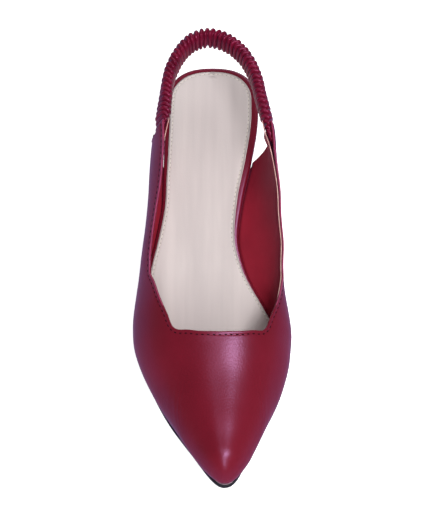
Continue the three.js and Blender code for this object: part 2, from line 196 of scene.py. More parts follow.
def round_end(distance: Array | float, length: float, power: float) -> Array:
    """Rises from 0 at a rounded end to 1 past its round.

    Args:
        distance: Distance from the end.
        length: Length of the round.
        power: How full the round is.

    Returns:
        The share, between 0 and 1.
    """
    left = np.clip(1 - np.asarray(distance, float) / length, 0, 1)
    return (1 - left**power) ** (1 / power)


def packed(start: float, end: float, count: int) -> Array:
    """Stations packed towards both ends."""
    return start + (end - start) * (1 - np.cos(np.pi * np.arange(count + 1) / count)) / 2


@dataclass
class Last:
    """The last that the shoe is made over, with the sizes of the solids, in millimetres."""

    length: float = 243.5
    ball_width: float = 82.0
    waist_width: float = 47.0
    seat_width: float = 54.0
    seat_round: float = 22.0
    seat_power: float = 2.3
    toe_round: float = 14.0
    toe_power: float = 2.0
    heel_height: float = 55.0
    toe_fullness: float = 1.2
    toe_spring: float = 7.0
    instep_height: float = 66.0
    toe_depth_round: float = 11.0
    clearance: float = 0.3
    wall: float = 1.6
    sole: float = 3.0
    swell_height: float = 0.42
    soften: float = 0.012
    origin_x: float = 0.0
    origin_y: float = 0.0
    columns: dict[str, Column] = field(default_factory=dict)

    def __post_init__(self) -> None:
        """Reads the tables."""
        seat, waist, ball = self.seat_width, self.waist_width, self.ball_width
        plan = (
            (0.0, seat, 0.49, 0.5),
            (0.12, seat, 0.508, 0.505),
            (0.245, waist, 0.6, 0.49),
            (0.33, waist, 0.61, 0.383),
            (0.41, waist, 0.69, 0.325),
            (0.47, ball, 0.445, 0.23),
            (0.56, ball, 0.494, 0.38),
            (0.61, ball, 0.508, 0.455),
            (0.655, ball, 0.502, 0.49),
            (0.7, ball, 0.468, 0.488),
            (0.776, ball, 0.376, 0.442),
            (0.838, ball, 0.277, 0.37),
            (0.895, ball, 0.17, 0.285),
            (0.955, ball, 0.054, 0.2),
            (1.0, ball, -0.004, 0.165),
        )
        bottom = (
            (0.0, 1.0, 0), (0.12, 0.945, 0), (0.225, 0.84, 0), (0.33, 0.64, 0),
            (0.41, 0.435, 0), (0.47, 0.28, 0), (0.525, 0.155, 0), (0.575, 0.075, 0),
            (0.625, 0.022, 0), (0.67, 0, 0), (0.76, 0, 0), (0.84, 0, 0.14),
            (0.92, 0, 0.5), (1.0, 0, 1.0),
        )
        section = (
            (0.0, 1.12, 0, 0.1, 0.1, 0.14, 0.14),
            (0.21, 1.1, 0.05, 0.18, 0.245, 0.16, 0.25),
            (0.27, 1.075, 0.065, 0.22, 0.33, 0.16, 0.31),
            (0.33, 1.03, 0.08, 0.24, 0.395, 0.15, 0.39),
            (0.41, 0.97, 0.1, 0.195, 0.45, 0.12, 0.48),
            (0.47, 0.91, 0.095, 0.15, 0.45, 0.11, 0.46),
            (0.515, 0.865, 0.09, 0.12, 0.365, 0.12, 0.38),
            (0.56, 0.81, 0.075, 0.115, 0.26, 0.18, 0.34),
            (0.61, 0.75, 0.06, 0.115, 0.18, 0.26, 0.34),
            (0.7, 0.625, 0.04, 0.115, 0.11, 0.31, 0.31),
            (0.78, 0.5, 0.025, 0.1, 0.09, 0.24, 0.23),
            (0.895, 0.325, 0.01, 0.085, 0.085, 0.12, 0.12),
            (0.96, 0.225, 0, 0.07, 0.07, 0.07, 0.07),
            (1.0, 0.175, 0, 0.05, 0.05, 0.05, 0.05),
        )
        reaches = [(at, width * outer, width * inner) for at, width, outer, inner in plan]
        self.columns.update(read_table(("outer", "inner"), reaches, self.soften))
        self.columns.update(read_table(("rise", "spring"), bottom, self.soften))
        names = ("crest", "shift", "swell_outer", "swell_inner", "round_outer", "round_inner")
        self.columns.update(read_table(names, section, self.soften))

    def along(self, name: str, station: Array | float) -> Array:
        """A column at a station."""
        return self.columns[name](np.asarray(station, float) / self.length)

    def toe_closing(self, station: Array | float) -> Array:
        """How far the outline is open before the toe's round."""
        return round_end(self.length - np.asarray(station, float), self.toe_round, self.toe_power)

    def outline_middle(self, station: Array | float) -> Array:
        """Middle of the board's outline."""
        return (self.along("inner", station) - self.along("outer", station)) / 2

    def half_width(self, station: Array | float) -> Array:
        """Half the width of the board's outline."""
        half = (self.along("inner", station) + self.along("outer", station)) / 2
        closing = round_end(station, self.seat_round, self.seat_power)
        return half * closing * self.toe_closing(station)

    def outline_x(self, side: Array | float, station: Array | float) -> Array:
        """x of the board's outline on one side."""
        return self.outline_middle(station) + side * self.half_width(station)

    def edge_point(self, side: Array | float, station: Array, reach: Array | float) -> tuple[Array, Array]:
        """Moves a point of the outline outwards in plan.

        Args:
            side: Sign of the side.
            station: Station of the point.
            reach: Distance outwards.

        Returns:
            Its x and its station.
        """
        ds = 0.02
        station = np.asarray(station, float)
        inside = np.clip(station, 2 * ds, self.length - 2 * ds)
        ahead = self.outline_x(side, inside + ds)
        behind = self.outline_x(side, inside - ds)
        lean = (ahead - behind) / (2 * ds)
        scale = np.hypot(1, lean)
        x = self.outline_x(side, station) + side / scale * reach
        s = station - side * lean / scale * reach
        tip = station > self.length - 2 * ds
        back = station < 2 * ds
        x = np.where(tip, self.outline_middle(self.length), np.where(back, self.outline_middle(0), x))
        s = np.where(tip, self.length + reach, np.where(back, -reach, s))
        return x, s

    def bottom_z(self, station: Array | float) -> Array:
        """Height of the board's underside."""
        under = self.sole + self.clearance + self.wall + self.clearance
        rise = self.along("rise", station) * (self.heel_height - under)
        return under + rise + self.along("spring", station) * self.toe_spring

    def edge_at(
        self, side: Array | float, station: Array, reach: Array | float, level: Array | float
    ) -> Array:
        """A point at a level above the board's underside, inside or outside the outline."""
        x, s = self.edge_point(side, station, reach)
        return np.stack(np.broadcast_arrays(x, -s, self.bottom_z(s) + level), -1)

    def point(self, side: Array, station: Array, climb: Array) -> Array:
        """A point of the last.

        Args:
            side: Sign of the side.
            station: Its station.
            climb: From 0 at the outline to 1 at the crest.

        Returns:
            Points, with y as minus the station.
        """
        foot = self.outline_x(side, station)
        closing = self.toe_closing(station)
        depth = round_end(self.length - station, self.toe_depth_round, self.toe_power)
        height = self.along("crest", station) * self.instep_height * depth
        middle = self.outline_middle(station) + self.along("shift", station) * self.ball_width
        outer = side < 0
        swell = np.where(outer, self.along("swell_outer", station), self.along("swell_inner", station))
        rounding = np.where(outer, self.along("round_outer", station), self.along("round_inner", station))
        left = 1 - climb
        a, b, c, d = left**3, 3 * left**2 * climb, 3 * left * climb**2, climb**3
        wide = side * self.ball_width * closing
        x = a * foot + b * (foot + wide * swell) + c * (middle + wide * rounding) + d * middle
        z = self.bottom_z(station) + height * (b * self.swell_height + c + d)
        return np.stack([x, -station, z], -1)

    def normal(self, side: Array, station: Array, climb: Array) -> Array:
        """Outward normal of the last at the same place."""
        ds, dc = 0.05, 0.002
        s0 = np.clip(station, ds, self.length - 2 * ds)
        c0 = np.clip(climb, dc, 1 - dc)
        lengthwise = self.point(side, s0 + ds, c0) - self.point(side, s0 - ds, c0)
        upward = self.point(side, s0, c0 + dc) - self.point(side, s0, c0 - dc)
        normal = np.cross(lengthwise, upward) * -side[..., None]
        normal[..., 0] = np.where(climb > 1 - dc, 0, normal[..., 0])
        tip = station > self.length - ds
        normal[tip] = (0, -1, 0)
        return unit(normal)

    def place(self, points: Array) -> Array:
        """Moves points from the last's millimetres to the part's metres."""
        return (points + np.array([self.origin_x, self.origin_y, 0.0])) * MM


class Meshes:
    """Turns rings of points into closed meshes."""

    @staticmethod
    def build(
        name: str, vertices: Array, faces: list[tuple[int, ...]], slots: Array | None = None
    ) -> bpy.types.Object:
        """Makes an object of a mesh whose shared points are merged.

        Args:
            name: The piece's name.
            vertices: Points in metres.
            faces: Corners of each face.
            slots: Material slot of each face.

        Returns:
            The new object, linked to the scene.
        """
        mesh = bpy.data.meshes.new(name)
        mesh.from_pydata(vertices.tolist(), [], faces)
        if slots is not None:
            mesh.polygons.foreach_set("material_index", np.asarray(slots, np.int32))
        work = bmesh.new()
        work.from_mesh(mesh)
        bmesh.ops.remove_doubles(work, verts=work.verts, dist=MERGE)
        bmesh.ops.dissolve_degenerate(work, edges=work.edges, dist=MERGE / 2)
        bmesh.ops.recalc_face_normals(work, faces=work.faces)
        if work.calc_volume(signed=True) < 0:
            bmesh.ops.reverse_faces(work, faces=work.faces)
        work.to_mesh(mesh)
        work.free()
        mesh.polygons.foreach_set("use_smooth", np.ones(len(mesh.polygons), bool))
        made = bpy.data.objects.new(name, mesh)
        bpy.context.scene.collection.objects.link(made)
        return made

    @staticmethod
    def rings(
        name: str, rings: Array, capped: bool = True, slot_of: Array | None = None
    ) -> bpy.types.Object:
        """A solid through rings of equal count. The halves of an end ring are joined rung by rung.

        Args:
            name: The piece's name.
            rings: Points in metres, ring by ring.
            capped: Whether the first and last rings are closed.
            slot_of: Material slot of each face, by ring and by place in the ring.

        Returns:
            The new object.
        """
        count, size = rings.shape[0], rings.shape[1]
        faces = []
        slots = []
        for i in range(count - 1):
            for j in range(size):
                a, b = i * size + j, i * size + (j + 1) % size
                faces.append((a, b, b + size, a + size))
                slots.append(0 if slot_of is None else int(slot_of[i, j]))
        if capped:
            end = (count - 1) * size
            for j in range(size // 2 - 1):
                a, b, c, d = j, j + 1, size - 2 - j, size - 1 - j
                faces.append((a, d, c, b))
                faces.append((end + a, end + b, end + c, end + d))
                slots.extend((0, 0))
        return Meshes.build(name, rings.reshape(-1, 3), faces, np.array(slots))

    @staticmethod
    def soften_edges(made: bpy.types.Object, width: float, angle: float) -> None:
        """Rounds the sharp edges of a piece.

        Args:
            made: The piece.
            width: Width of the rounding in metres.
            angle: Edges sharper than this many degrees are rounded.
        """
        bevel = made.modifiers.new("rounded edges", "BEVEL")
        bevel.width = width
        bevel.segments = 3
        bevel.limit_method = "ANGLE"
        bevel.angle_limit = math.radians(angle)
        Meshes.apply(made)
        made.data.set_sharp_from_angle(angle=math.radians(angle))

    @staticmethod
    def apply(made: bpy.types.Object) -> None:
        """Turns a piece's modifiers into its mesh."""
        bpy.context.view_layer.update()
        depsgraph = bpy.context.evaluated_depsgraph_get()
        mesh = bpy.data.meshes.new_from_object(made.evaluated_get(depsgraph))
        made.modifiers.clear()
        made.data = mesh
        mesh.polygons.foreach_set("use_smooth", np.ones(len(mesh.polygons), bool))


def add_node(
    tree: bpy.types.NodeTree, kind: str, settings: Settings | None = None, links: Settings | None = None
) -> bpy.types.Node:
    """Adds a node with its settings and its links.

    Args:
        tree: The node tree.
        kind: Blender's name of the node.
        settings: Values by input name or number, or by the node's own property.
        links: Sockets that feed the node's inputs.

    Returns:
        The new node.
    """
    node = tree.nodes.new(kind)
    for key, value in (settings or {}).items():
        if isinstance(key, str) and hasattr(node, key):
            setattr(node, key, value)
        else:
            node.inputs[key].default_value = value
    for key, socket in (links or {}).items():
        tree.links.new(socket, node.inputs[key])
    return node


@dataclass(frozen=True)
class Finish:
    """A finish: a base colour in two shades, its gloss, its fine relief and its slow waviness."""

    name: str
    light: str
    dark: str
    roughness: float
    ior: float = 1.5
    specular_tint: str = "#ffffff"
    sheen: float = 0.0
    sheen_roughness: float = 0.5
    sheen_tint: str = "#ffffff"
    mottle_mm: tuple[float, float, float] = (18.0, 18.0, 18.0)
    grain_mm: float = 1.1
    grain_depth: float = 0.05
    wave_mm: float = 26.0
    wave_depth: float = 0.0

    ROUGH_SPREAD = 0.05

    def material(self) -> bpy.types.Material:
        """Builds the node material.

        Returns:
            The material, made once for each finish.
        """
        found = bpy.data.materials.get(self.name)
        if found:
            return found
        material = bpy.data.materials.new(self.name)
        material.use_nodes = True
        tree = material.node_tree
        tree.nodes.clear()
        where = add_node(tree, "ShaderNodeTexCoord").outputs["Object"]
        stretch = tuple(1 / (size * MM) for size in self.mottle_mm)
        spread = add_node(tree, "ShaderNodeMapping", {"Scale": stretch}, {"Vector": where})
        mottle = add_node(
            tree,
            "ShaderNodeTexNoise",
            {"Scale": 1.0, "Detail": 3.0, "Roughness": 0.5},
            {"Vector": spread.outputs["Vector"]},
        )
        shade = add_node(tree, "ShaderNodeValToRGB", {}, {"Fac": mottle.outputs["Fac"]})
        shade.color_ramp.elements[0].position = 0.32
        shade.color_ramp.elements[0].color = linear(self.dark)
        shade.color_ramp.elements[1].position = 0.68
        shade.color_ramp.elements[1].color = linear(self.light)
        grain = add_node(
            tree,
            "ShaderNodeTexVoronoi",
            {"feature": "SMOOTH_F1", "Scale": 1 / (self.grain_mm * MM), "Smoothness": 0.6},
            {"Vector": where},
        )
        fine = add_node(
            tree,
            "ShaderNodeBump",
            {"Strength": 1.0, "Distance": self.grain_depth * MM},
            {"Height": grain.outputs["Distance"]},
        )
        wave = add_node(
            tree,
            "ShaderNodeTexNoise",
            {"Scale": 1 / (self.wave_mm * MM), "Detail": 1.0, "Roughness": 0.4},
            {"Vector": where},
        )
        slow = add_node(
            tree,
            "ShaderNodeBump",
            {"Strength": 1.0, "Distance": self.wave_depth * MM},
            {"Height": wave.outputs["Fac"], "Normal": fine.outputs["Normal"]},
        )
        gloss = add_node(
            tree,
            "ShaderNodeMapRange",
            {"To Min": self.roughness - self.ROUGH_SPREAD, "To Max": self.roughness + self.ROUGH_SPREAD},
            {"Value": mottle.outputs["Fac"]},
        )
        shader = add_node(
            tree,
            "ShaderNodeBsdfPrincipled",
            {
                "IOR": self.ior,
                "Specular Tint": linear(self.specular_tint),
                "Sheen Weight": self.sheen,
                "Sheen Roughness": self.sheen_roughness,
                "Sheen Tint": linear(self.sheen_tint),
            },
            {
                "Base Color": shade.outputs["Color"],
                "Roughness": gloss.outputs["Result"],
                "Normal": slow.outputs["Normal"],
            },
        )
        add_node(tree, "ShaderNodeOutputMaterial", {}, {"Surface": shader.outputs["BSDF"]})
        return material


# Coated side leather, plated smooth: a deep red ground under a satin film that throws back a
# lilac light. The real grain is near 0.3 mm, drawn here at 1.1 mm so that it shows.
UPPER_LEATHER = Finish(
    "satin side leather", "#690d1b", "#5f0b17", roughness=0.32, specular_tint="#f2c2ff",
    sheen=0.06, sheen_roughness=0.4, sheen_tint="#c9a4ff", mottle_mm=(30.0, 40.0, 30.0),
    grain_mm=1.1, grain_depth=0.03, wave_mm=24.0, wave_depth=0.4,
)
# The same leather where it is folded over at the topline, painted paler: a painted highlight for the bright
# line that the fold's small round catches.
PAINTED_FOLD_HIGHLIGHT = Finish(
    "leather fold with painted highlight", "#983858", "#84304c", roughness=0.35, specular_tint="#f2c2ff",
    mottle_mm=(3.0, 9.0, 3.0), grain_mm=0.8, grain_depth=0.02, wave_mm=8.0, wave_depth=0.1,
)
# Polyurethane lining, knife cut: flatter and redder, with a soft sheen.
LINING = Finish(
    "smooth lining leather", "#921d2d", "#841a28", roughness=0.55, ior=1.4,
    specular_tint="#f4d0ff", sheen=0.05, sheen_tint="#c08cd8", mottle_mm=(24.0, 30.0, 24.0),
    grain_mm=1.3, grain_depth=0.03, wave_mm=30.0, wave_depth=0.3,
)
# Cut edge of the lining's foam backing: pale peach and matt.
RAW_EDGE = Finish(
    "raw foam edge", "#dcb4ac", "#b98a86", roughness=0.8, ior=1.45, sheen=0.1,
    mottle_mm=(3.0, 3.0, 3.0), grain_mm=0.8, grain_depth=0.1, wave_mm=6.0, wave_depth=0.1,
)
# The same leather gathered over elastic: thin and stretched, so its folds catch sharper lights.
GATHERED = Finish(
    "gathered glove leather", "#6c0e28", "#560b1f", roughness=0.3, specular_tint="#ff90cc",
    sheen=0.08, sheen_roughness=0.4, sheen_tint="#b08ae0", mottle_mm=(9.0, 9.0, 9.0),
    grain_mm=1.0, grain_depth=0.05, wave_mm=7.0, wave_depth=0.2,
)
# Sueded polyurethane sock over foam: matt beige, lighter and darker in long soft bands along its length.
SOCK = Finish(
    "sueded sock leather", "#c9bfbd", "#bbb1b0", roughness=0.66, ior=1.45, sheen=0.1,
    sheen_roughness=0.6, mottle_mm=(9.0, 160.0, 40.0), grain_mm=0.9, grain_depth=0.03,
    wave_mm=18.0, wave_depth=0.25,
)
# Bonded polyester thread, a tone paler than the sock.
SOCK_THREAD = Finish(
    "pale bonded thread", "#d8d2c8", "#cac3b8", roughness=0.5, sheen=0.1,
    mottle_mm=(2.0, 2.0, 2.0), grain_mm=0.5, grain_depth=0.04, wave_mm=4.0, wave_depth=0.1,
)
# Each needle hole of the sock: a grey mark of painted shade for the small pit.
NEEDLE_HOLE_PAINTED_SHADE = Finish(
    "shaded needle hole", "#989182", "#878070", roughness=0.8, ior=1.45,
    mottle_mm=(2.0, 2.0, 2.0), grain_mm=0.5, grain_depth=0.04, wave_mm=4.0, wave_depth=0.1,
)
# The same thread in burgundy, sunk in its groove; its near-black colour is painted shade of the groove and
# the needle holes.
UPPER_THREAD_PAINTED_SHADE = Finish(
    "burgundy thread darkened with painted shade", "#260612", "#1c040c", roughness=0.9, ior=1.3,
    specular_tint="#ffc0e8", mottle_mm=(2.0, 2.0, 2.0), grain_mm=0.5, grain_depth=0.04,
    wave_mm=4.0, wave_depth=0.1,
)
# Moulded thermoplastic rubber: near black, satin from the mould, with a fine pebble.
RUBBER = Finish(
    "moulded black rubber", "#121114", "#0c0b0e", roughness=0.6, ior=1.45,
    mottle_mm=(14.0, 14.0, 14.0), grain_mm=1.0, grain_depth=0.06, wave_mm=20.0, wave_depth=0.1,
)
# Cement line between upper and sole: a thin film whose pale lilac is a painted highlight along the sole's
# edge.
CEMENT_LINE_HIGHLIGHT = Finish(
    "cement line", "#b193a2", "#94788a", roughness=0.4, ior=1.45,
    mottle_mm=(5.0, 5.0, 5.0), grain_mm=0.8, grain_depth=0.04, wave_mm=8.0, wave_depth=0.1,
)


def dress(
    made: bpy.types.Object, finishes: Sequence[Finish], slot: Slot, nodes: Sequence[str] = ()
) -> bpy.types.Object:
    """Gives a piece its finishes and its body.

    Args:
        made: The piece.
        finishes: Finishes in the order of the mesh's material slots.
        slot: The record's material slot; not used.
        nodes: Solids that the piece stands for.

    Returns:
        The piece.
    """
    for finish in finishes:
        made.data.materials.append(finish.material())
    if nodes:
        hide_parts(*nodes)
    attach(made, BODY)
    return made


@dataclass
class StitchRow:
    """A row of lock stitches laid in a surface. Sizes in millimetres."""

    name: str
    finish: Finish
    slot: Slot
    pitch: float
    stitch: float
    radius: float
    lift: float
    start: float = 0.0

    RINGS = 7
    SIDES = 6

    def build(self, points: Array, normals: Array, last: Last) -> bpy.types.Object:
        """Lays the stitches along a line of the surface.

        Args:
            points: Points of the line, in the last's millimetres.
            normals: The surface's outward normals there.
            last: Gives the place in the part.

        Returns:
            One piece that holds the whole row.
        """
        run = np.concatenate([[0], np.cumsum(np.linalg.norm(np.diff(points, axis=0), axis=1))])
        count = int((run[-1] - 2 * self.start) / self.pitch)
        centres = self.start + (np.arange(count) + 0.5) * (run[-1] - 2 * self.start) / count
        spans = np.linspace(-1, 1, self.RINGS)
        sides = self.SIDES
        angles = np.arange(sides) * 2 * np.pi / sides
        vertices = []
        faces = []
        for centre in centres:
            at = centre + spans * self.stitch / 2
            p = np.stack([np.interp(at, run, points[:, k]) for k in range(3)], -1)
            n = unit(np.stack([np.interp(at, run, normals[:, k]) for k in range(3)], -1))
            tangent = unit(np.gradient(p, axis=0))
            across = unit(np.cross(tangent, n))
            thick = self.radius * np.sqrt(np.maximum(1 - spans**6, 0.02))
            middle = p + n * (self.lift * (1 - spans**2) - self.radius * 0.5)[:, None]
            ring = (
                middle[:, None]
                + across[:, None] * (np.cos(angles) * thick[:, None])[..., None]
                + n[:, None] * (np.sin(angles) * thick[:, None] * 0.8)[..., None]
            )
            base = len(vertices) * self.RINGS * sides
            vertices.append(ring.reshape(-1, 3))
            for i in range(self.RINGS - 1):
                for j in range(sides):
                    a, b = base + i * sides + j, base + i * sides + (j + 1) % sides
                    faces.append((a, b, b + sides, a + sides))
            faces.append(tuple(base + j for j in reversed(range(sides))))
            faces.append(tuple(base + (self.RINGS - 1) * sides + j for j in range(sides)))
        made = Meshes.build(self.name, last.place(np.concatenate(vertices)), faces)
        return dress(made, [self.finish], self.slot)


@dataclass
class Slab:
    """A layer that follows the underside of the last, in loops from its edge to its spine.

    Where the layer is narrower than full_profile from edge to spine, its edge is squeezed.
    """

    last: Last
    start: float
    end: float
    reach: Callable[[Array, float], Array]
    under: Callable[[Array], Array]
    thickness: float
    edge: Sequence[tuple[float, float]]
    square_start: bool = False
    back_round: float = 24.0
    front_round: float = 16.0
    stations: int = 150
    inner_loops: int = 10
    full_profile: float = 10.0
    dish: Callable[[Array], Array] | None = None

    def perimeter(self) -> tuple[Array, Array]:
        """The edge in plan, once round.

        Returns:
            x and station of each point.
        """
        s = packed(self.start, self.end, self.stations)
        outer = self.last.edge_point(-1.0, s, self.reach(s, -1.0))
        inner = self.last.edge_point(1.0, s, self.reach(s, 1.0))
        x = np.concatenate([outer[0], inner[0][::-1][1:]])
        y = np.concatenate([outer[1], inner[1][::-1][1:]])
        if self.square_start:
            y = np.maximum(y, self.start)
            across = np.linspace(x[-1], x[0], 14)[1:-1]
            x = np.concatenate([x, across])
            y = np.concatenate([y, np.full(len(across), self.start)])
        else:
            x, y = x[:-1], y[:-1]
        return x, y

    def spine(self, x: Array, y: Array) -> tuple[Array, Array]:
        """The spine's point that each point of the edge looks at."""
        s = np.clip(y, self.start + self.back_round, self.end - self.front_round)
        return self.last.outline_middle(s), s

    def inset(self, depth: Array | float) -> tuple[Array, Array]:
        """The perimeter moved in by a distance in millimetres.

        Args:
            depth: Distance from the edge.

        Returns:
            x and station of each point.
        """
        x, y = self.perimeter()
        cx, cy = self.spine(x, y)
        share = np.asarray(depth) * self.per_depth(cx - x, cy - y)
        return x + (cx - x) * share, y + (cy - y) * share

    def per_depth(self, dx: Array, dy: Array) -> Array:
        """Share of the way from the edge to the spine for each millimetre of depth."""
        width = np.maximum(np.hypot(dx, dy), 1e-6)
        return np.minimum(1, width / self.full_profile) / width

    def top_at(self, x: Array, y: Array, share: Array | float, drop: Array | float = 0.0) -> Array:
        """Points of the top side.

        Args:
            x: x in plan.
            y: Station.
            share: From 0 at the edge to 1 at the spine.
            drop: Distance below the top.

        Returns:
            Points in the last's millimetres.
        """
        level = self.under(y) + self.thickness - drop
        if self.dish is not None:
            level = level - self.dish(y) * (1 - (1 - share) ** 2)
        return np.stack([x, -y, self.last.bottom_z(y) + level], -1)

    def build(self, name: str) -> bpy.types.Object:
        """Makes the layer.

        Args:
            name: The piece's name.

        Returns:
            The new object.
        """
        x, y = self.perimeter()
        cx, cy = self.spine(x, y)
        per_depth = self.per_depth(cx - x, cy - y)
        rings = []
        for t in (1.0, 0.66, 0.33):
            px, py = x + (cx - x) * t, y + (cy - y) * t
            rings.append(np.stack([px, -py, self.last.bottom_z(py) + self.under(py)], -1))
        for depth, drop in self.edge:
            share = depth * per_depth
            px, py = x + (cx - x) * share, y + (cy - y) * share
            rings.append(self.top_at(px, py, share, drop))
        first = self.edge[-1][0] * per_depth
        for k in range(1, self.inner_loops + 1):
            share = first + (1 - first) * k / self.inner_loops
            px, py = x + (cx - x) * share, y + (cy - y) * share
            rings.append(self.top_at(px, py, share))
        return Meshes.rings(name, self.last.place(np.array(rings)), capped=False)


def rounded_edge(
    thickness: float, radius: float, low_radius: float, extra: Sequence[tuple[float, float]] = ()
) -> list[tuple[float, float]]:
    """Profile of a layer's edge from its underside to its top.

    Args:
        thickness: Thickness of the layer.
        radius: Rounding of the upper edge.
        low_radius: Rounding of the lower edge.
        extra: More places on the top, as inset and drop.

    Returns:
        Insets and drops below the top.
    """
    angles = np.radians(np.arange(0, 91, 15))
    low = [(low_radius * (1 - math.sin(a)), thickness - low_radius * (1 - math.cos(a))) for a in angles]
    high = [(radius * (1 - math.cos(a)), radius * (1 - math.sin(a))) for a in angles]
    return low + high + list(extra)


@dataclass
class Bottom:
    """Outsole, wrapped insole board and padded sock. Sizes in millimetres."""

    last: Last
    board: float = 3.6
    board_ends_short: float = 3.0
    sock: float = 1.35
    sock_lies: float = 0.05
    wrap_behind: float = 1.9
    sock_ends_short: float = 8.0
    breast_at: float = 54.0
    quarters_begin: float = 0.243
    seam_inset: float = 1.6
    groove_depth: float = 0.28
    soften: float = 0.01

    def by_side(self, table: dict[str, Column], station: Array, side: float) -> Array:
        """A value of a table with a column for each side, at a station."""
        at = station / self.last.length
        return table["outer"](at) if side < 0 else table["inner"](at)

    def outsole(self) -> bpy.types.Object:
        """The thin outsole, with a squared end at the heel's breast."""
        last = self.last
        rows = (
            (0.2, -0.87, -0.87), (0.45, -0.8, -0.8), (0.6, 0.0, 0.0), (0.78, 0.42, 0.13),
            (0.85, 0.64, 0.2), (0.92, 0.68, 0.35), (0.96, 0.76, 0.6), (1.0, 1.13, 1.13),
        )
        reach = read_table(("outer", "inner"), rows, self.soften)
        ahead = self.quarters_begin * last.length - last.clearance
        slab = Slab(
            last=last,
            start=self.breast_at + last.clearance,
            end=last.length,
            reach=lambda s, side: self.by_side(reach, s, side) * last.sole,
            under=lambda s: -last.clearance
            - smoothstep(s, self.breast_at, ahead) * (last.wall + last.clearance)
            - last.sole,
            thickness=last.sole,
            edge=rounded_edge(last.sole, 0.45, 0.6, [(1.2, 0.0), (2.5, 0.0)]),
            square_start=True,
            back_round=12.0,
        )
        return dress(slab.build("outsole_rubber"), [RUBBER], Slot.RUBBER, ["outsole"])

    def footbed(self) -> bpy.types.Object:
        """The insole board, its crowned edge wrapped in the upper's leather."""
        last = self.last
        slab = Slab(
            last=last,
            start=0.0,
            end=last.length - self.board_ends_short,
            reach=lambda s, side: -last.clearance + self.wrap_behind * (1 - smoothstep(s, 0, 14)),
            under=lambda s: np.zeros_like(s),
            thickness=self.board,
            edge=rounded_edge(self.board, 1.7, 0.5, [(2.3, 0.02), (2.9, 0.08), (3.6, 0.16), (4.6, 0.2)]),
        )
        return dress(slab.build("wrapped_footbed"), [UPPER_LEATHER], Slot.UPPER, ["insole_board"])

    def sock_slab(self) -> Slab:
        """The sock's layer, dished at the seat and pressed along its seam."""
        last = self.last
        rows = (
            (0.0, 0.6, 0.6), (0.05, 0.82, 1.08), (0.1, 0.8, 1.12), (0.22, 0.72, 1.02),
            (0.3, 0.52, 0.95), (0.42, 0.5, 0.6), (0.6, 0.47, 0.47), (1.0, 0.6, 0.6),
        )
        inset = read_table(("outer", "inner"), rows, self.soften)
        seam = [
            (self.seam_inset + step, self.groove_depth * math.exp(-((step / 0.55) ** 2)))
            for step in (-1.2, -0.8, -0.45, -0.2, 0.0, 0.2, 0.45, 0.8, 1.2, 1.8)
        ]
        return Slab(
            last=last,
            start=0.0,
            end=last.length - self.sock_ends_short,
            reach=lambda s, side: -last.clearance - self.by_side(inset, s, side) * self.board,
            under=lambda s: np.full_like(s, self.board + self.sock_lies),
            thickness=self.sock,
            edge=rounded_edge(self.sock, 0.6, 0.1, [(0.85, 0.0), *seam]),
            inner_loops=14,
            dish=lambda s: 0.15 + 0.75 * (1 - smoothstep(s, 35, 85)),
        )

    def sock_piece(self) -> bpy.types.Object:
        """The padded sock."""
        made = dress(self.sock_slab().build("padded_sock"), [SOCK], Slot.SOCK, ["sock"])
        return made

    def sock_stitches(self) -> list[bpy.types.Object]:
        """The sock's row of stitches, and grey marks of painted shade at their needle holes."""
        slab = self.sock_slab()
        x, y = slab.inset(self.seam_inset)
        points = slab.top_at(x, y, 0.1, self.groove_depth * 0.8)
        ahead = slab.end - 60
        kept = y < ahead
        first = int(np.argmin(kept))
        order = np.roll(np.arange(len(y)), -first)
        order = order[kept[order]]
        line = points[order]
        normals = np.tile([0.0, 0.0, 1.0], (len(line), 1))
        thread = StitchRow("sock_stitches", SOCK_THREAD, Slot.SOCK, 2.6, 1.7, 0.26, 0.2)
        # Grey capsules of painted shade at the needle holes between the stitches.
        holes = StitchRow("sock_needle_hole_shade", NEEDLE_HOLE_PAINTED_SHADE, Slot.SOCK, 2.6, 0.75, 0.3, 0.0, 1.3)
        return [thread.build(line, normals, self.last), holes.build(line, normals, self.last)]

    def build(self) -> list[bpy.types.Object]:
        """Makes every layer of the bottom."""
        return [self.outsole(), self.footbed(), self.sock_piece(), *self.sock_stitches()]


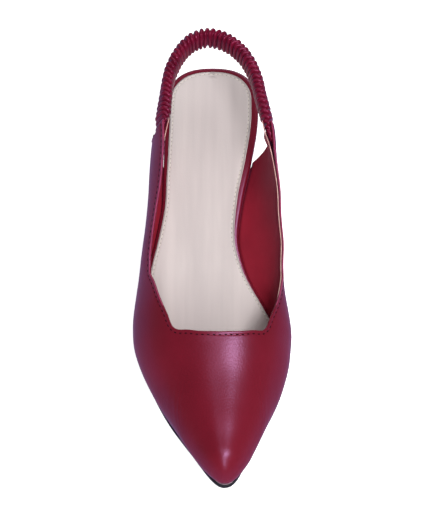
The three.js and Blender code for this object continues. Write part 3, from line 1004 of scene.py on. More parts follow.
@dataclass
class Heel:
    """The covered block heel and its top lift. Sizes in millimetres."""

    last: Last
    breast_at: float = 54.0
    base_width: float = 36.0
    base_length: float = 33.0
    base_at: float = 4.0
    hollow: float = 2.0
    lift: float = 6.0
    lift_rounding: float = 0.5
    sharp_degrees: float = 50.0
    flare_power: float = 2.2
    levels: int = 36
    per_side: int = 40
    rounding: float = 0.9

    def seat_outline(self) -> Array:
        """Outline at the seat, from the breast round the back to the breast."""
        s = packed(0, 2 * self.breast_at, 2 * self.per_side)[: self.per_side + 1]
        halves = []
        for side in Side:
            x, y = self.last.edge_point(side.value, s, -self.last.clearance)
            halves.append(np.stack([x, np.minimum(y, self.breast_at)], -1))
        return np.concatenate([halves[0][::-1], halves[1]])

    def base_outline(self) -> Array:
        """The same outline at the size of the heel's base."""
        seat = self.seat_outline()
        low, high = seat[:, 0].min(), seat[:, 0].max()
        middle = (low + high) / 2
        x = middle + (seat[:, 0] - middle) * self.base_width / (high - low)
        return np.stack([x, self.base_at + seat[:, 1] * self.base_length / self.breast_at], -1)

    def block(self) -> bpy.types.Object:
        """The heel block under its leather cover."""
        seat, base = self.seat_outline(), self.base_outline()
        rings = []
        for level in np.linspace(0, 1, self.levels):
            flare = level**self.flare_power
            hollow = self.hollow * 4 * level * (1 - level) * (seat[:, 1] / self.breast_at) ** 2
            plan = base + (seat - base) * flare
            top = self.last.bottom_z(seat[:, 1]) - self.last.clearance
            z = self.lift + (top - self.lift) * level
            rings.append(np.stack([plan[:, 0], -(plan[:, 1] - hollow), z], -1))
        made = Meshes.rings("covered_heel", self.last.place(np.array(rings)))
        Meshes.soften_edges(made, self.rounding * MM, self.sharp_degrees)
        return dress(made, [UPPER_LEATHER], Slot.UPPER, ["heel"])

    def top_lift(self) -> bpy.types.Object:
        """The lift under the heel."""
        base = self.base_outline()
        rings = [np.stack([base[:, 0], -base[:, 1], np.full(len(base), z)], -1) for z in (0.0, self.lift)]
        made = Meshes.rings("heel_top_lift", self.last.place(np.array(rings)))
        Meshes.soften_edges(made, self.lift_rounding * MM, self.sharp_degrees)
        return dress(made, [RUBBER], Slot.RUBBER, ["top_lift"])

    def build(self) -> list[bpy.types.Object]:
        """Makes the heel's pieces."""
        return [self.block(), self.top_lift()]


@dataclass
class Wall:
    """The upper's wall as ribs from the end of one quarter round the toe to the other."""

    last: Last
    margin: float = 6.0
    columns: dict[str, Column] = field(default_factory=dict)
    last_rib: float = 24.0

    def __post_init__(self) -> None:
        """Reads the table of ribs."""
        names = ("foot", "foot_climb", "margin", "top", "top_outer", "top_inner", "ease")
        rows = (
            (0.24, 0.33, 0, 0.238, 0.458, 0.442, 1),
            (0.238, 0.24, 0, 0.252, 0.468, 0.445, 1),
            (0.2375, 0.165, 0, 0.268, 0.478, 0.45, 1),
            (0.2375, 0.1, 0, 0.286, 0.485, 0.458, 1),
            (0.238, 0.045, 0, 0.308, 0.489, 0.466, 1),
            (0.24, 0, 0, 0.335, 0.482, 0.468, 1),
            (0.31, 0, 1, 0.372, 0.462, 0.46, 1),
            (0.39, 0, 1, 0.416, 0.419, 0.45, 1),
            (0.465, 0, 1, 0.46, 0.387, 0.4, 1),
            (0.53, 0, 1, 0.5, 0.366, 0.358, 1),
            (0.585, 0, 1, 0.528, 0.377, 0.354, 1),
            (0.635, 0, 1, 0.564, 0.46, 0.42, 1),
            (0.685, 0, 1, 0.604, 0.542, 0.505, 1),
            (0.74, 0, 1, 0.645, 0.614, 0.588, 1),
            (0.793, 0, 1, 0.6785, 0.664, 0.632, 1.05),
            (0.845, 0, 1, 0.688, 0.706, 0.672, 1.1),
            (0.894, 0, 1, 0.6925, 0.772, 0.75, 1.2),
            (0.9425, 0, 1, 0.6985, 0.85, 0.835, 1.35),
            (0.9603, 0, 1, 0.7, 0.885, 0.875, 1.5),
            (0.9763, 0, 1, 0.701, 0.91, 0.905, 1.7),
            (0.989, 0, 1, 0.7015, 0.935, 0.93, 1.85),
            (0.9972, 0, 1, 0.702, 0.955, 0.953, 1.95),
            (1, 0, 1, 0.7022, 0.97, 0.97, 2),
            (1, 0.5, 1, 0.7025, 0.985, 0.985, 2),
            (1, 1, 1, 0.7025, 1, 1, 2),
        )
        soften = {"top": 0.08, "top_outer": 0.08, "top_inner": 0.08, "ease": 0.3}
        for k, name in enumerate(names):
            values = [row[k] for row in rows]
            self.columns[name] = Column(range(len(rows)), values, soften.get(name, 0.0))

    def split(self, u: Array) -> tuple[Array, Array]:
        """Side and rib of a place along the horseshoe, whose toe is at 0."""
        return np.where(u < 0, -1.0, 1.0), self.last_rib - np.abs(u)

    def climb_place(self, u: Array, share: Array) -> tuple[Array, Array, Array]:
        """Side, station and climb at a share of a rib's length."""
        side, rib = self.split(u)
        c = self.columns
        eased = np.maximum(share, 0) ** c["ease"](rib)
        foot, foot_climb = c["foot"](rib), c["foot_climb"](rib)
        top = np.where(side < 0, c["top_outer"](rib), c["top_inner"](rib))
        station = (foot + (c["top"](rib) - foot) * eased) * self.last.length
        return side, station, foot_climb + (top - foot_climb) * eased

    def at(self, u: Array, share: Array, offset: Array | float) -> Array:
        """A point on or off the last's surface.

        Args:
            u: Place along the horseshoe.
            share: From 0 at the lower edge to 1 at the topline.
            offset: Distance out from the last.

        Returns:
            Points in the last's millimetres.
        """
        u, share = np.broadcast_arrays(u, share)
        side, station, climb = self.climb_place(u, share)
        point = self.last.point(side, station, climb)
        normal = self.last.normal(side, station, climb)
        return point + normal * np.broadcast_to(offset, u.shape)[..., None]

    def normal_at(self, u: Array, share: Array) -> Array:
        """Outward normals of the wall."""
        u, share = np.broadcast_arrays(u, share)
        side, station, climb = self.climb_place(u, share)
        return self.last.normal(side, station, climb)

    def share_below(self, u: Array, depth: Array | float) -> Array:
        """Share of the rib at a distance below the topline, measured square to it."""
        near = self.at(u, np.full_like(u, 0.97), 0.8)
        top = self.at(u, np.full_like(u, 1.0), 0.8)
        before = self.at(np.maximum(u - 0.1, -self.last_rib), np.ones_like(u), 0.8)
        after = self.at(np.minimum(u + 0.1, self.last_rib), np.ones_like(u), 0.8)
        speed = np.linalg.norm(np.cross(top - near, unit(after - before)), axis=-1) / 0.03
        return 1 - np.asarray(depth) / np.maximum(speed, 1e-6)

    def share_above(self, u: Array, depth: Array | float) -> Array:
        """Share of the rib at a distance above its lower edge."""
        low = self.at(u, np.full_like(u, 0.0), 0.8)
        near = self.at(u, np.full_like(u, 0.03), 0.8)
        speed = np.linalg.norm(near - low, axis=-1) / 0.03
        return np.asarray(depth) / np.maximum(speed, 1e-6)


@dataclass
class Ply:
    """One layer of the wall, between two distances from the last. Sizes in millimetres."""

    wall: Wall
    low: float
    high: float
    top_drop: Callable[[Array], Array]
    ends: tuple[float, float]
    rounded_top: bool = True
    depth: float = 0.0
    puff: float = 0.0
    groove: float = 0.0
    bulge: Callable[[Array, Array], Array] | None = None
    slant: float = 0.0
    groove_at: float = 2.0
    groove_width: float = 0.42
    roll_at: float = 0.7
    roll_width: float = 0.9
    slant_ribs: float = 4.0
    slant_full: float = 9.0
    slant_fades: tuple[float, float] = (12.0, 19.0)
    rim_slot: Callable[[Array], Array] = np.zeros_like
    ribs_per_step: float = 0.14
    steps: int = 26

    NEAR = (7.0, 5.6, 4.4, 3.4, 2.8, 2.45, 2.2, 2.0, 1.8, 1.55, 1.2, 0.8, 0.5)

    def _offset(self, base: float, below: Array, u: Array, outer: bool) -> Array:
        """Distance from the last of one face of the ply.

        Args:
            base: The face's plain distance.
            below: Distance below the topline.
            u: Place along the horseshoe.
            outer: Whether it is the face away from the foot.

        Returns:
            The distance with the seam's groove, the topline's roll and the strap's bulge.
        """
        offset = np.full(np.broadcast(below, u).shape, base)
        if outer:
            offset = offset - self.groove * np.exp(-(((below - self.groove_at) / self.groove_width) ** 2))
            offset = offset + self.puff * np.exp(-(((below - self.roll_at) / self.roll_width) ** 2))
        if self.bulge is not None:
            offset = offset + self.bulge(u, below)
        return offset

    def _slanted(self, u: Array, below: Array) -> Array:
        """Places along the horseshoe, moved where the outer quarter's end is cut on a slant."""
        near = 1 - smoothstep(u - u[0], 0, self.slant_ribs)
        depth = smoothstep(below, 0, self.slant_full) * (1 - smoothstep(below, *self.slant_fades))
        return u + self.slant * near * depth

    def rings(self) -> tuple[Array, Array]:
        """Rings of points across the ply, and the material slot of each face.

        Returns:
            Points in the last's millimetres, and the faces' slots.
        """
        wall = self.wall
        start, end = -wall.last_rib + self.ends[0], wall.last_rib - self.ends[1]
        count = int(round((end - start) / self.ribs_per_step))
        u = np.linspace(start, end, count + 1)
        side, rib = wall.split(u)
        radius = (self.high - self.low) / 2
        middle = (self.high + self.low) / 2
        near = np.array([d for d in self.NEAR if d < (self.depth or math.inf)])
        top_drop = self.top_drop(u)
        near = near[near > top_drop.max() + radius]
        top_share = wall.share_below(u, near[0])
        if self.depth:
            bottom_share = wall.share_below(u, self.depth)
        else:
            bottom_share = np.zeros_like(u)
        shares = [bottom_share + (top_share - bottom_share) * k / self.steps for k in range(self.steps)]
        shares += [wall.share_below(u, d) for d in near]
        speed = 1 / np.maximum(1 - wall.share_below(u, 1.0), 1e-9)
        outer_face = []
        inner_face = []
        for share in shares:
            below = (1 - share) * speed
            cut = self._slanted(u, below)
            outer_face.append(wall.at(cut, share, self._offset(self.high, below, cut, True)))
            inner_face.append(wall.at(cut, share, self._offset(self.low, below, cut, False)))
        rim = []
        rim_slots = []
        if self.rounded_top:
            for angle in np.radians(np.arange(0, 181, 22.5)):
                below = top_drop + radius * (1 - math.sin(angle))
                shift = self._offset(0.0, below, u, angle < math.radians(91))
                rim.append(wall.at(u, wall.share_below(u, below), middle + radius * math.cos(angle) + shift))
                rim_slots.append(self.rim_slot(u))
        else:
            corner = 0.08
            for below, offset in (
                (top_drop + corner, self.high),
                (top_drop, self.high - corner),
                (top_drop, self.low + corner),
                (top_drop + corner, self.low),
            ):
                shift = self._offset(0.0, below, u, False)
                rim.append(wall.at(u, wall.share_below(u, below), offset + shift))
                rim_slots.append(np.ones_like(u))
            rim_slots[-1] = np.zeros_like(u)
        foot_out, foot_in = self._foot(u, side, rib, radius, middle)
        ring = [*foot_out, *outer_face, *rim, *inner_face[::-1], *foot_in]
        slots = np.zeros((len(u), len(ring)), int)
        first = len(foot_out) + len(outer_face)
        slots[:, first : first + len(rim_slots)] = np.stack(rim_slots, 1)
        return np.stack(ring, 1), slots

    def _low_shift(self, u: Array) -> Array:
        """The shift of the lower edge."""
        if self.bulge is None:
            return np.zeros_like(u)
        if self.depth:
            return self.bulge(u, np.full_like(u, self.depth))
        return self.bulge(u, 1 / np.maximum(1 - self.wall.share_below(u, 1.0), 1e-9))

    def _foot(
        self, u: Array, side: Array, rib: Array, radius: float, middle: float
    ) -> tuple[list[Array], list[Array]]:
        """Points below the two faces: a rounded free edge, or the margin lasted under the board.

        Args:
            u: Places along the horseshoe.
            side: Signs of the sides.
            rib: Ribs.
            radius: Half the ply's thickness.
            middle: Middle of the ply.

        Returns:
            Points that lead to the outer face, and points that follow the inner face.
        """
        wall, last = self.wall, self.wall.last
        station = wall.columns["foot"](rib) * last.length
        lasted = smoothstep(wall.columns["margin"](rib), 0.1, 0.9)[:, None]
        if self.depth:
            lasted = np.zeros_like(lasted)
        width = np.minimum(wall.margin, 0.7 * last.half_width(station))
        low_point = last.edge_at(side, station, 0.0, -last.clearance)
        high_point = wall.at(u, np.zeros_like(u), 0.0)
        outward = wall.normal_at(u, np.zeros_like(u))
        down = np.array([0.0, 0.0, -1.0])
        start = wall.share_below(u, self.depth) if self.depth else np.zeros_like(u)
        speed = 1 / np.maximum(wall.share_above(u, 1.0), 1e-9)
        shift = self._low_shift(u)
        ways = ((self.high, 1.0), (self.low, -1.0))
        lists = []
        for offset, way in ways:
            free = []
            for angle in np.radians((90, 67.5, 45, 22.5, 0)):
                step = radius * (1 - math.sin(angle))
                share = start + (step - radius) / speed * 0.9
                offset_here = middle + way * radius * math.cos(angle) + shift
                free.append(wall.at(u, np.maximum(share, 0), offset_here))
            turned = [last.edge_at(side, station, -width, -last.clearance - offset)]
            for t in (0.0, 0.35, 0.7, 1.0):
                base = low_point * (1 - t) + high_point * t
                lean = unit(down * (1 - t) + outward * t)
                turned.append(base + lean * (offset + shift * t)[:, None])
            lists.append([a * (1 - lasted) + b * lasted for a, b in zip(free, turned)])
        return lists[0], lists[1][::-1]

    def build(self, name: str) -> bpy.types.Object:
        """Makes the ply.

        Args:
            name: The piece's name.

        Returns:
            The new object.
        """
        rings, slots = self.rings()
        return Meshes.rings(name, self.wall.last.place(rings), slot_of=slots)


@dataclass
class Spread:
    """How far the strap's ends push the layers of the quarters apart. Sizes in millimetres."""

    wall: Wall
    leather_fades: tuple[float, float] = (12.0, 17.5)
    lining_fades: tuple[float, float] = (15.0, 23.0)
    columns: dict[str, Column] = field(default_factory=dict)

    # Rib, then leather and lining of the outer quarter, leather and lining of the inner quarter
    ROWS = (
        (0.0, 1.0, 2.4, 0.5, 3.9),
        (0.5, 1.0, 2.1, 0.5, 3.9),
        (1.0, 0.9, 1.7, 0.5, 3.9),
        (1.6, 0.7, 1.2, 0.5, 3.7),
        (2.2, 0.45, 0.9, 0.4, 3.2),
        (3.0, 0.2, 0.7, 0.3, 2.3),
        (4.0, 0.05, 0.5, 0.1, 1.2),
        (6.0, 0.0, 0.3, 0.0, 0.3),
        (8.0, 0.0, 0.0, 0.0, 0.0),
        (24.0, 0.0, 0.0, 0.0, 0.0),
    )

    def __post_init__(self) -> None:
        """Reads the table."""
        names = ("leather_outer", "lining_outer", "leather_inner", "lining_inner")
        self.columns.update(read_table(names, self.ROWS))

    def at_rib(self, layer: str, side: Array, rib: Array) -> Array:
        """The spread of a layer at the strap's height."""
        outer, inner = self.columns[layer + "_outer"], self.columns[layer + "_inner"]
        return np.where(np.asarray(side) < 0, outer(rib), inner(rib))

    def drawn_in(self, below: Array) -> Array:
        """How the seam draws the outer leather in above the strap."""
        return 0.25 + 0.75 * smoothstep(below, 0.6, 4.5)

    def leather(self, u: Array, below: Array) -> Array:
        """Outward shift of the outer leather."""
        side, rib = self.wall.split(u)
        beside = 1 - smoothstep(below, *self.leather_fades)
        return self.at_rib("leather", side, rib) * beside * self.drawn_in(below)

    def lining(self, u: Array, below: Array) -> Array:
        """Shift of the lining, negative towards the foot."""
        side, rib = self.wall.split(u)
        return -self.at_rib("lining", side, rib) * (1 - smoothstep(below, *self.lining_fades))


@dataclass
class Upper:
    """Outer leather with its turned topline, lining, and their stitches. Sizes in millimetres."""

    wall: Wall
    spread: Spread
    thickness: float = 1.6
    outer_end: float = 0.5
    inner_end: float = 0.35
    seam_below: float = 2.0
    lining_covered: float = 2.2
    toe_begins: float = 0.88
    toe_fills: tuple[float, float] = (15.0, 65.0)

    def outer_leather(self) -> bpy.types.Object:
        """The outer leather, lasted under the board."""
        ply = Ply(
            wall=self.wall,
            low=0.98,
            high=self.thickness,
            top_drop=np.zeros_like,
            ends=(self.outer_end, self.inner_end),
            puff=0.16,
            groove=0.12,
            groove_at=self.seam_below,
            slant=1.7,
            bulge=self.outer_shift,
            # The topline's rounded rim on the quarters takes the finish of painted highlight.
            rim_slot=self.painted_fold_highlight,
        )
        return dress(ply.build("outer_leather"), [UPPER_LEATHER, PAINTED_FOLD_HIGHLIGHT], Slot.UPPER, ["upper"])

    def painted_fold_highlight(self, u: Array) -> Array:
        """1 along the quarters, where the fold of the topline takes the paler finish of painted highlight.
        """
        return (self.wall.split(u)[1] < 12.5).astype(int)

    def outer_shift(self, u: Array, below: Array) -> Array:
        """The strap's bulge, and the fullness of the toe above the sole."""
        foot = self.wall.columns["foot"](self.wall.split(u)[1])
        full = smoothstep(foot, self.toe_begins, 1.0) * smoothstep(below, *self.toe_fills)
        return self.spread.leather(u, below) + self.wall.last.toe_fullness * full

    def turned_edge(self) -> bpy.types.Object:
        """The leather turned in along the topline."""
        ply = Ply(
            wall=self.wall,
            low=0.5,
            high=0.92,
            top_drop=lambda u: np.full_like(u, 0.05),
            ends=(self.outer_end, self.inner_end),
            depth=8.0,
            steps=4,
            bulge=self.spread.leather,
        )
        return dress(ply.build("turned_topline_edge"), [UPPER_LEATHER], Slot.UPPER)

    def lining(self) -> bpy.types.Object:
        """The lining, with its raw edge below the topline."""
        ply = Ply(
            wall=self.wall,
            low=0.0,
            high=0.45,
            top_drop=self.lining_drop,
            ends=(0.0, 0.0),
            rounded_top=False,
            bulge=self.spread.lining,
        )
        return dress(ply.build("lining_leather"), [LINING, RAW_EDGE], Slot.LINING)

    def lining_drop(self, u: Array) -> Array:
        """How far the lining stops below the topline: closest at the quarters' ends."""
        side, rib = self.wall.split(u)
        covered = np.where(side < 0, smoothstep(rib, 1.5, 3.5), smoothstep(rib, 11.5, 13))
        return 0.2 + (self.lining_covered - 0.2) * covered

    def seam_line(self) -> tuple[Array, Array, Array]:
        """Where the topline's seam runs.

        Returns:
            Places along the horseshoe, shares of the ribs and distances below the topline.
        """
        last_rib = self.wall.last_rib
        u = np.linspace(-last_rib + self.outer_end + 0.3, last_rib - self.inner_end - 0.3, 900)
        return u, self.wall.share_below(u, self.seam_below), np.full_like(u, self.seam_below)

    def seam(self) -> bpy.types.Object:
        """The row of stitches below the topline."""
        u, share, below = self.seam_line()
        points = self.wall.at(u, share, self.thickness - 0.1 + self.spread.leather(u, below))
        # The near-black thread carries painted shade of the groove and needle holes.
        row = StitchRow("topline_stitches", UPPER_THREAD_PAINTED_SHADE, Slot.UPPER, 3.2, 1.8, 0.42, 0.14)
        return row.build(points, self.wall.normal_at(u, share), self.wall.last)

    def lining_seam(self) -> bpy.types.Object:
        """The same row where it comes through the lining."""
        u, share, below = self.seam_line()
        points = self.wall.at(u, share, self.spread.lining(u, below))
        row = StitchRow("lining_stitches", UPPER_THREAD_PAINTED_SHADE, Slot.LINING, 3.2, 1.7, 0.26, 0.12)
        return row.build(points, -self.wall.normal_at(u, share), self.wall.last)

    def build(self) -> list[bpy.types.Object]:
        """Makes the upper's pieces."""
        return [self.outer_leather(), self.turned_edge(), self.lining(), self.seam(), self.lining_seam()]


def spline(points: Array, count: int) -> Array:
    """A natural cubic spline through points, at even steps of its length.

    Args:
        points: The points.
        count: How many samples to give back.

    Returns:
        The samples.
    """
    chord = np.concatenate([[0], np.cumsum(np.linalg.norm(np.diff(points, axis=0), axis=1))])
    h = np.diff(chord)
    n = len(points)
    system = np.eye(n)
    right = np.zeros((n, 3))
    for i in range(1, n - 1):
        system[i, i - 1], system[i, i], system[i, i + 1] = h[i - 1], 2 * (h[i - 1] + h[i]), h[i]
        right[i] = 6 * ((points[i + 1] - points[i]) / h[i] - (points[i] - points[i - 1]) / h[i - 1])
    bend = np.linalg.solve(system, right)
    t = np.linspace(0, chord[-1], 4000)
    i = np.clip(np.searchsorted(chord, t, side="right") - 1, 0, n - 2)
    a, b = (chord[i + 1] - t)[:, None], (t - chord[i])[:, None]
    hi = h[i][:, None]
    fine = (
        bend[i] * a**3 / (6 * hi)
        + bend[i + 1] * b**3 / (6 * hi)
        + (points[i] / hi - bend[i] * hi / 6) * a
        + (points[i + 1] / hi - bend[i + 1] * hi / 6) * b
    )
    run = np.concatenate([[0], np.cumsum(np.linalg.norm(np.diff(fine, axis=0), axis=1))])
    even = np.linspace(0, run[-1], count)
    return np.stack([np.interp(even, run, fine[:, k]) for k in range(3)], -1)


@dataclass
class Sling:
    """The gathered strap round the back of the heel. Sizes in millimetres."""

    wall: Wall
    spread: Spread
    height: float = 14.6
    thickness: float = 7.4
    rise: float = 9.0
    pitch: float = 3.1
    fold: float = 1.6
    ease: float = 0.02
    swells_in: float = 5.0
    per_gather: int = 14
    sides: int = 48
    squareness: float = 0.68
    seed: int = 7

    # Ribs of the quarters that each end of the strap reaches, from the tip inwards
    RIBS = (0.0, 0.5, 1.0, 1.6, 2.2, 3.0)
    ROWS = (
        (0.175, -0.324, 0.4), (0.108, -0.29, 0.73), (0.054, -0.22, 0.93), (0.02, -0.13, 0.99),
        (0.009, -0.035, 1.0), (0.016, 0.065, 0.99), (0.037, 0.158, 0.96), (0.076, 0.248, 0.87),
        (0.138, 0.318, 0.58), (0.175, 0.341, 0.4),
    )

    def _quarter(self, side: Side) -> tuple[Array, Array, Array]:
        """How the strap's end lies between the layers of a quarter.

        Args:
            side: Which quarter.

        Returns:
            Points from the tip inwards, half the strap's thickness at each, and the unit
            vector up the wall at the tip.
        """
        wall = self.wall
        ribs = np.array(self.RIBS)
        u = side.value * (wall.last_rib - ribs)
        leather = 0.5 + self.spread.at_rib("leather", np.full_like(u, side.value), ribs)
        lining = 0.45 - self.spread.at_rib("lining", np.full_like(u, side.value), ribs)
        points = wall.at(u, wall.share_below(u, self.height / 2 + 0.3), (leather + lining) / 2)
        top = wall.at(u[:1], np.ones(1), 0.72)[0]
        low = wall.at(u[:1], np.zeros(1), 0.72)[0]
        return points, (leather - lining) / 2 - self.ease, unit(top - low)

    def build(self) -> list[bpy.types.Object]:
        """Makes the strap.

        Returns:
            The strap, alone in a list.
        """
        last = self.wall.last
        outer, outer_half, outer_up = self._quarter(Side.OUTER)
        inner, inner_half, inner_up = self._quarter(Side.INNER)
        tip_z = (outer[0][2] + inner[0][2]) / 2
        loop = [
            (across * last.ball_width, -at * last.length, tip_z + lift * self.rise)
            for at, across, lift in self.ROWS
        ]
        points = np.array([*outer[::-1], *loop, *inner])
        length = np.linalg.norm(np.diff(spline(points, 2000), axis=0), axis=1).sum()
        gathers = int(round(length / self.pitch))
        count = gathers * self.per_gather + 1
        line = spline(points, count)
        along = np.linspace(0, length, count)
        tangent = unit(np.gradient(line, axis=0))
        ends = []
        for reach, half in ((outer, outer_half), (inner, inner_half)):
            run = np.concatenate([[0], np.cumsum(np.linalg.norm(np.diff(reach, axis=0), axis=1))])
            at = np.concatenate([-run[::-1], [self.swells_in]])
            ends.append((run[-1], Column(at, np.concatenate([half[::-1], [self.thickness / 2]]))))
        from_start = along - ends[0][0]
        from_end = length - along - ends[1][0]
        outside = np.minimum(from_start, from_end)
        half = np.minimum(ends[0][1](from_start), ends[1][1](from_end))
        held = 1 - smoothstep(outside, 0, length / 4)
        lean = np.where((along < length / 2)[:, None], outer_up, inner_up)
        upright = np.array([0.0, 0.0, 1.0]) * (1 - held)[:, None] + lean * held[:, None]
        upright = unit(upright - tangent * (upright * tangent).sum(1, keepdims=True))
        across = np.cross(tangent, upright)
        high, wide = self._section(along, length, gathers, outside, half)
        ring = line[:, None] + upright[:, None] * high[..., None] + across[:, None] * wide[..., None]
        made = Meshes.rings("gathered_sling_strap", last.place(ring))
        return [dress(made, [GATHERED], Slot.GATHERED, ["sling_strap"])]

    def _section(
        self, along: Array, length: float, gathers: int, outside: Array, half: Array
    ) -> tuple[Array, Array]:
        """Sections of the strap with its gathers, uneven as sewn ones are.

        Args:
            along: Distance along the strap.
            length: Its whole length.
            gathers: How many gathers it has.
            outside: Distance outside the quarters.
            half: Half the strap's thickness.

        Returns:
            Distances up and across of each section's points.
        """
        rng = np.random.default_rng(self.seed)
        edges = np.linspace(0, length, gathers + 1)
        edges[1:-1] += rng.uniform(-0.06, 0.06, gathers - 1) * self.pitch
        angle = (np.arange(self.sides) + 0.5) * 2 * np.pi / self.sides
        cos, sin = np.cos(angle), np.sin(angle)
        # The folds of the two faces lie half a pitch apart and meet in a zigzag along the edges.
        slant = 0.25 * np.tanh(5 * cos) * self.pitch
        sway = rng.uniform(-0.06, 0.06, (gathers, 2)) * self.pitch
        tall = rng.uniform(0.9, 1.04, (gathers, self.sides // 8))
        at = along[:, None] + slant[None]
        which = np.clip(np.searchsorted(edges, at, side="right") - 1, 0, gathers - 1)
        at = np.clip(at + sway[which, 0] * sin[None] + sway[which, 1] * np.sin(2 * angle)[None], 0, length)
        which = np.clip(np.searchsorted(edges, at, side="right") - 1, 0, gathers - 1)
        share = (at - edges[which]) / (edges[which + 1] - edges[which])
        ridge = np.sqrt(np.maximum(1 - ((2 * share - 1) / 0.8) ** 2, 0))
        around = (np.arange(self.sides) * (self.sides // 8) // self.sides)[None]
        ridge = ridge * tall[which, np.broadcast_to(around, which.shape)]
        depth = self.fold * (0.25 + 0.75 * smoothstep(outside, -5.0, 1.0))[:, None]
        relief = (ridge - 1) * np.minimum(depth, 0.55 * half[:, None])
        narrow = (0.86 + 0.14 * smoothstep(outside, -7.0, 0.0))[:, None]
        up = np.sign(sin) * np.abs(sin) ** self.squareness
        side = np.sign(cos) * np.abs(cos) ** self.squareness
        return up[None] * (self.height / 2 + relief) * narrow, side[None] * (half[:, None] + relief)


@dataclass
class FeatherLine:
    """The thin cement line where the upper meets the outsole, pale as a painted highlight. Sizes in
    millimetres.
    """

    last: Last
    start: float = 0.62
    stands_out: float = 1.35

    def build(self) -> list[bpy.types.Object]:
        """Makes the line.

        Returns:
            The line, alone in a list.
        """
        last = self.last
        s = packed(self.start * last.length * 2 - last.length, last.length, 300)
        s = s[s >= self.start * last.length]
        level = -last.clearance - last.wall - last.clearance * 0.5
        rows = ((-0.6, 0.0), (-0.1, 0.16), (0.0, 0.0), (-0.1, -0.16))
        paths = []
        for inset, lift in rows:
            reach = self.stands_out + inset
            reach = reach + last.toe_fullness * smoothstep(s, 0.97 * last.length, last.length)
            outer = last.edge_at(-1.0, s, reach, level + lift)
            inner = last.edge_at(1.0, s, reach, level + lift)
            paths.append(np.concatenate([outer, inner[::-1][1:]]))
        made = Meshes.rings("feather_line", last.place(np.stack(paths, 1)))
        return [dress(made, [CEMENT_LINE_HIGHLIGHT], Slot.RUBBER)]


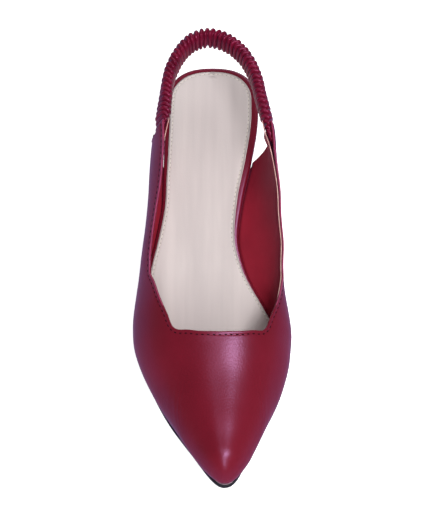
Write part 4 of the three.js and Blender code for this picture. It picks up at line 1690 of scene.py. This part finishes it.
@dataclass
class Studio:
    """Camera, lights and floor. Sizes in metres, angles in degrees."""

    aim: tuple[float, float, float]
    distance: float = 1.1
    elevation: float = 59.0
    focal_px: float = 1914.0
    axis_row: float = 300.0
    height_px: float = 518.0
    sensor: float = 36.0
    floor_size: float = 30.0
    floor_glow: float = 0.75
    walls: float = 0.18
    below: str = "#9284b8"
    lamps_face: tuple[float, float, float] = (0.0, 0.0, 0.04)
    horizon: tuple[float, float] = (0.49, 0.52)

    # Name, place, width and height, and watts of each soft box
    LAMPS = (
        ("key box", (0.46, -0.62, 1.36), (0.75, 0.26), 17.0),
        ("sky box", (-0.12, -0.42, 1.5), (0.9, 0.4), 2.8),
        ("front strip", (0.1, -1.2, 1.0), (0.45, 0.9), 8.5),
        ("back box", (0.45, 1.5, 1.3), (1.4, 0.8), 12.0),
    )

    def camera(self) -> None:
        """Sets the camera at the photograph's angle."""
        data = bpy.data.cameras.new("camera")
        data.sensor_width = self.sensor
        data.lens = self.focal_px / self.height_px * self.sensor
        data.clip_start = 0.05
        data.clip_end = 60.0
        made = bpy.data.objects.new("camera", data)
        bpy.context.scene.collection.objects.link(made)
        e = math.radians(self.elevation)
        back = Vector((0.0, -math.cos(e), math.sin(e)))
        made.location = Vector(self.aim) + back * self.distance
        tilt = e - math.atan((self.axis_row - self.height_px / 2) / self.focal_px)
        look = Vector((0.0, math.cos(tilt), -math.sin(tilt)))
        made.rotation_mode = "QUATERNION"
        made.rotation_quaternion = look.to_track_quat("-Z", "Y")
        bpy.context.scene.camera = made

    def lamp(
        self, name: str, place: tuple[float, float, float], size: tuple[float, float], watts: float
    ) -> None:
        """Adds a white soft box that faces the shoe.

        Args:
            name: The lamp's name.
            place: Where it stands.
            size: Its width and height.
            watts: Its power.
        """
        data = bpy.data.lights.new(name, "AREA")
        data.shape = "RECTANGLE"
        data.size, data.size_y = size
        data.energy = watts
        made = bpy.data.objects.new(name, data)
        bpy.context.scene.collection.objects.link(made)
        made.location = Vector(place)
        made.rotation_mode = "QUATERNION"
        made.rotation_quaternion = (Vector(self.lamps_face) - Vector(place)).to_track_quat("-Z", "Y")

    def floor(self) -> None:
        """Lays the pale floor: opal board lit a little from below, so shadows stay faint."""
        half = self.floor_size / 2
        corners = np.array([(-half, -half, 0), (half, -half, 0), (half, half, 0), (-half, half, 0)], float)
        made = Meshes.build("studio_floor", corners, [(0, 1, 2, 3)])
        material = bpy.data.materials.new("opal studio board")
        material.use_nodes = True
        tree = material.node_tree
        tree.nodes.clear()
        where = add_node(tree, "ShaderNodeTexCoord").outputs["Object"]
        speck = add_node(tree, "ShaderNodeTexNoise", {"Scale": 3.0, "Detail": 2.0}, {"Vector": where})
        shade = add_node(tree, "ShaderNodeValToRGB", {}, {"Fac": speck.outputs["Fac"]})
        shade.color_ramp.elements[0].color = linear("#f6f6f6")
        shade.color_ramp.elements[1].color = linear("#f8f8f8")
        settings = {
            "Roughness": 0.9,
            "Emission Color": linear("#ffffff"),
            "Emission Strength": self.floor_glow,
        }
        shader = add_node(tree, "ShaderNodeBsdfPrincipled", settings, {"Base Color": shade.outputs["Color"]})
        add_node(tree, "ShaderNodeOutputMaterial", {}, {"Surface": shader.outputs["BSDF"]})
        made.data.materials.append(material)
        made.visible_glossy = False

    def world(self) -> None:
        """Dim walls, so that only the boxes shine in the leather, over a lilac-grey ground."""
        world = bpy.data.worlds.new("studio")
        world.use_nodes = True
        tree = world.node_tree
        tree.nodes.clear()
        where = add_node(tree, "ShaderNodeTexCoord").outputs["Generated"]
        split = add_node(tree, "ShaderNodeSeparateXYZ", {}, {"Vector": where})
        level = add_node(tree, "ShaderNodeMapRange", {"From Min": -1.0}, {"Value": split.outputs["Z"]})
        shade = add_node(tree, "ShaderNodeValToRGB", {}, {"Fac": level.outputs["Result"]})
        shade.color_ramp.elements[0].position = self.horizon[0]
        shade.color_ramp.elements[0].color = linear(self.below)
        shade.color_ramp.elements[1].position = self.horizon[1]
        shade.color_ramp.elements[1].color = (self.walls, self.walls, self.walls, 1.0)
        glow = add_node(tree, "ShaderNodeBackground", {}, {"Color": shade.outputs["Color"]})
        add_node(tree, "ShaderNodeOutputWorld", {}, {"Surface": glow.outputs["Background"]})
        bpy.context.scene.world = world

    def build(self) -> None:
        """Sets up the studio."""
        settings = bpy.context.scene.view_settings
        settings.view_transform = "Standard"
        settings.look = "None"
        self.world()
        self.floor()
        for name, place, size, watts in self.LAMPS:
            self.lamp(name, place, size, watts)
        self.camera()


def main() -> None:
    """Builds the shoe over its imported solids."""
    logging.basicConfig(level=logging.INFO, format="%(name)s: %(message)s")
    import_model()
    last = Last()
    board_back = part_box("insole_board")[1].y / MM
    heel_low, heel_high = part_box("top_lift")
    last.origin_y = board_back + last.clearance
    heel = Heel(last)
    base = heel.base_outline()
    last.origin_x = (heel_low.x + heel_high.x) / 2 / MM - (base[:, 0].min() + base[:, 0].max()) / 2
    LOG.info("origin of the last at x %.3f, y %.3f mm", last.origin_x, last.origin_y)
    wall = Wall(last)
    spread = Spread(wall)
    made = []
    for part in (Bottom(last), heel, Upper(wall, spread), Sling(wall, spread), FeatherLine(last)):
        made.extend(part.build())
    for piece in made:
        LOG.info("%s: %d faces", piece.name, len(piece.data.polygons))
    Studio(aim=(0.0, (last.origin_y - CAMERA_AIMS_AT) * MM, CAMERA_AIM_HEIGHT * MM)).build()


if __name__ == "__main__":
    main()
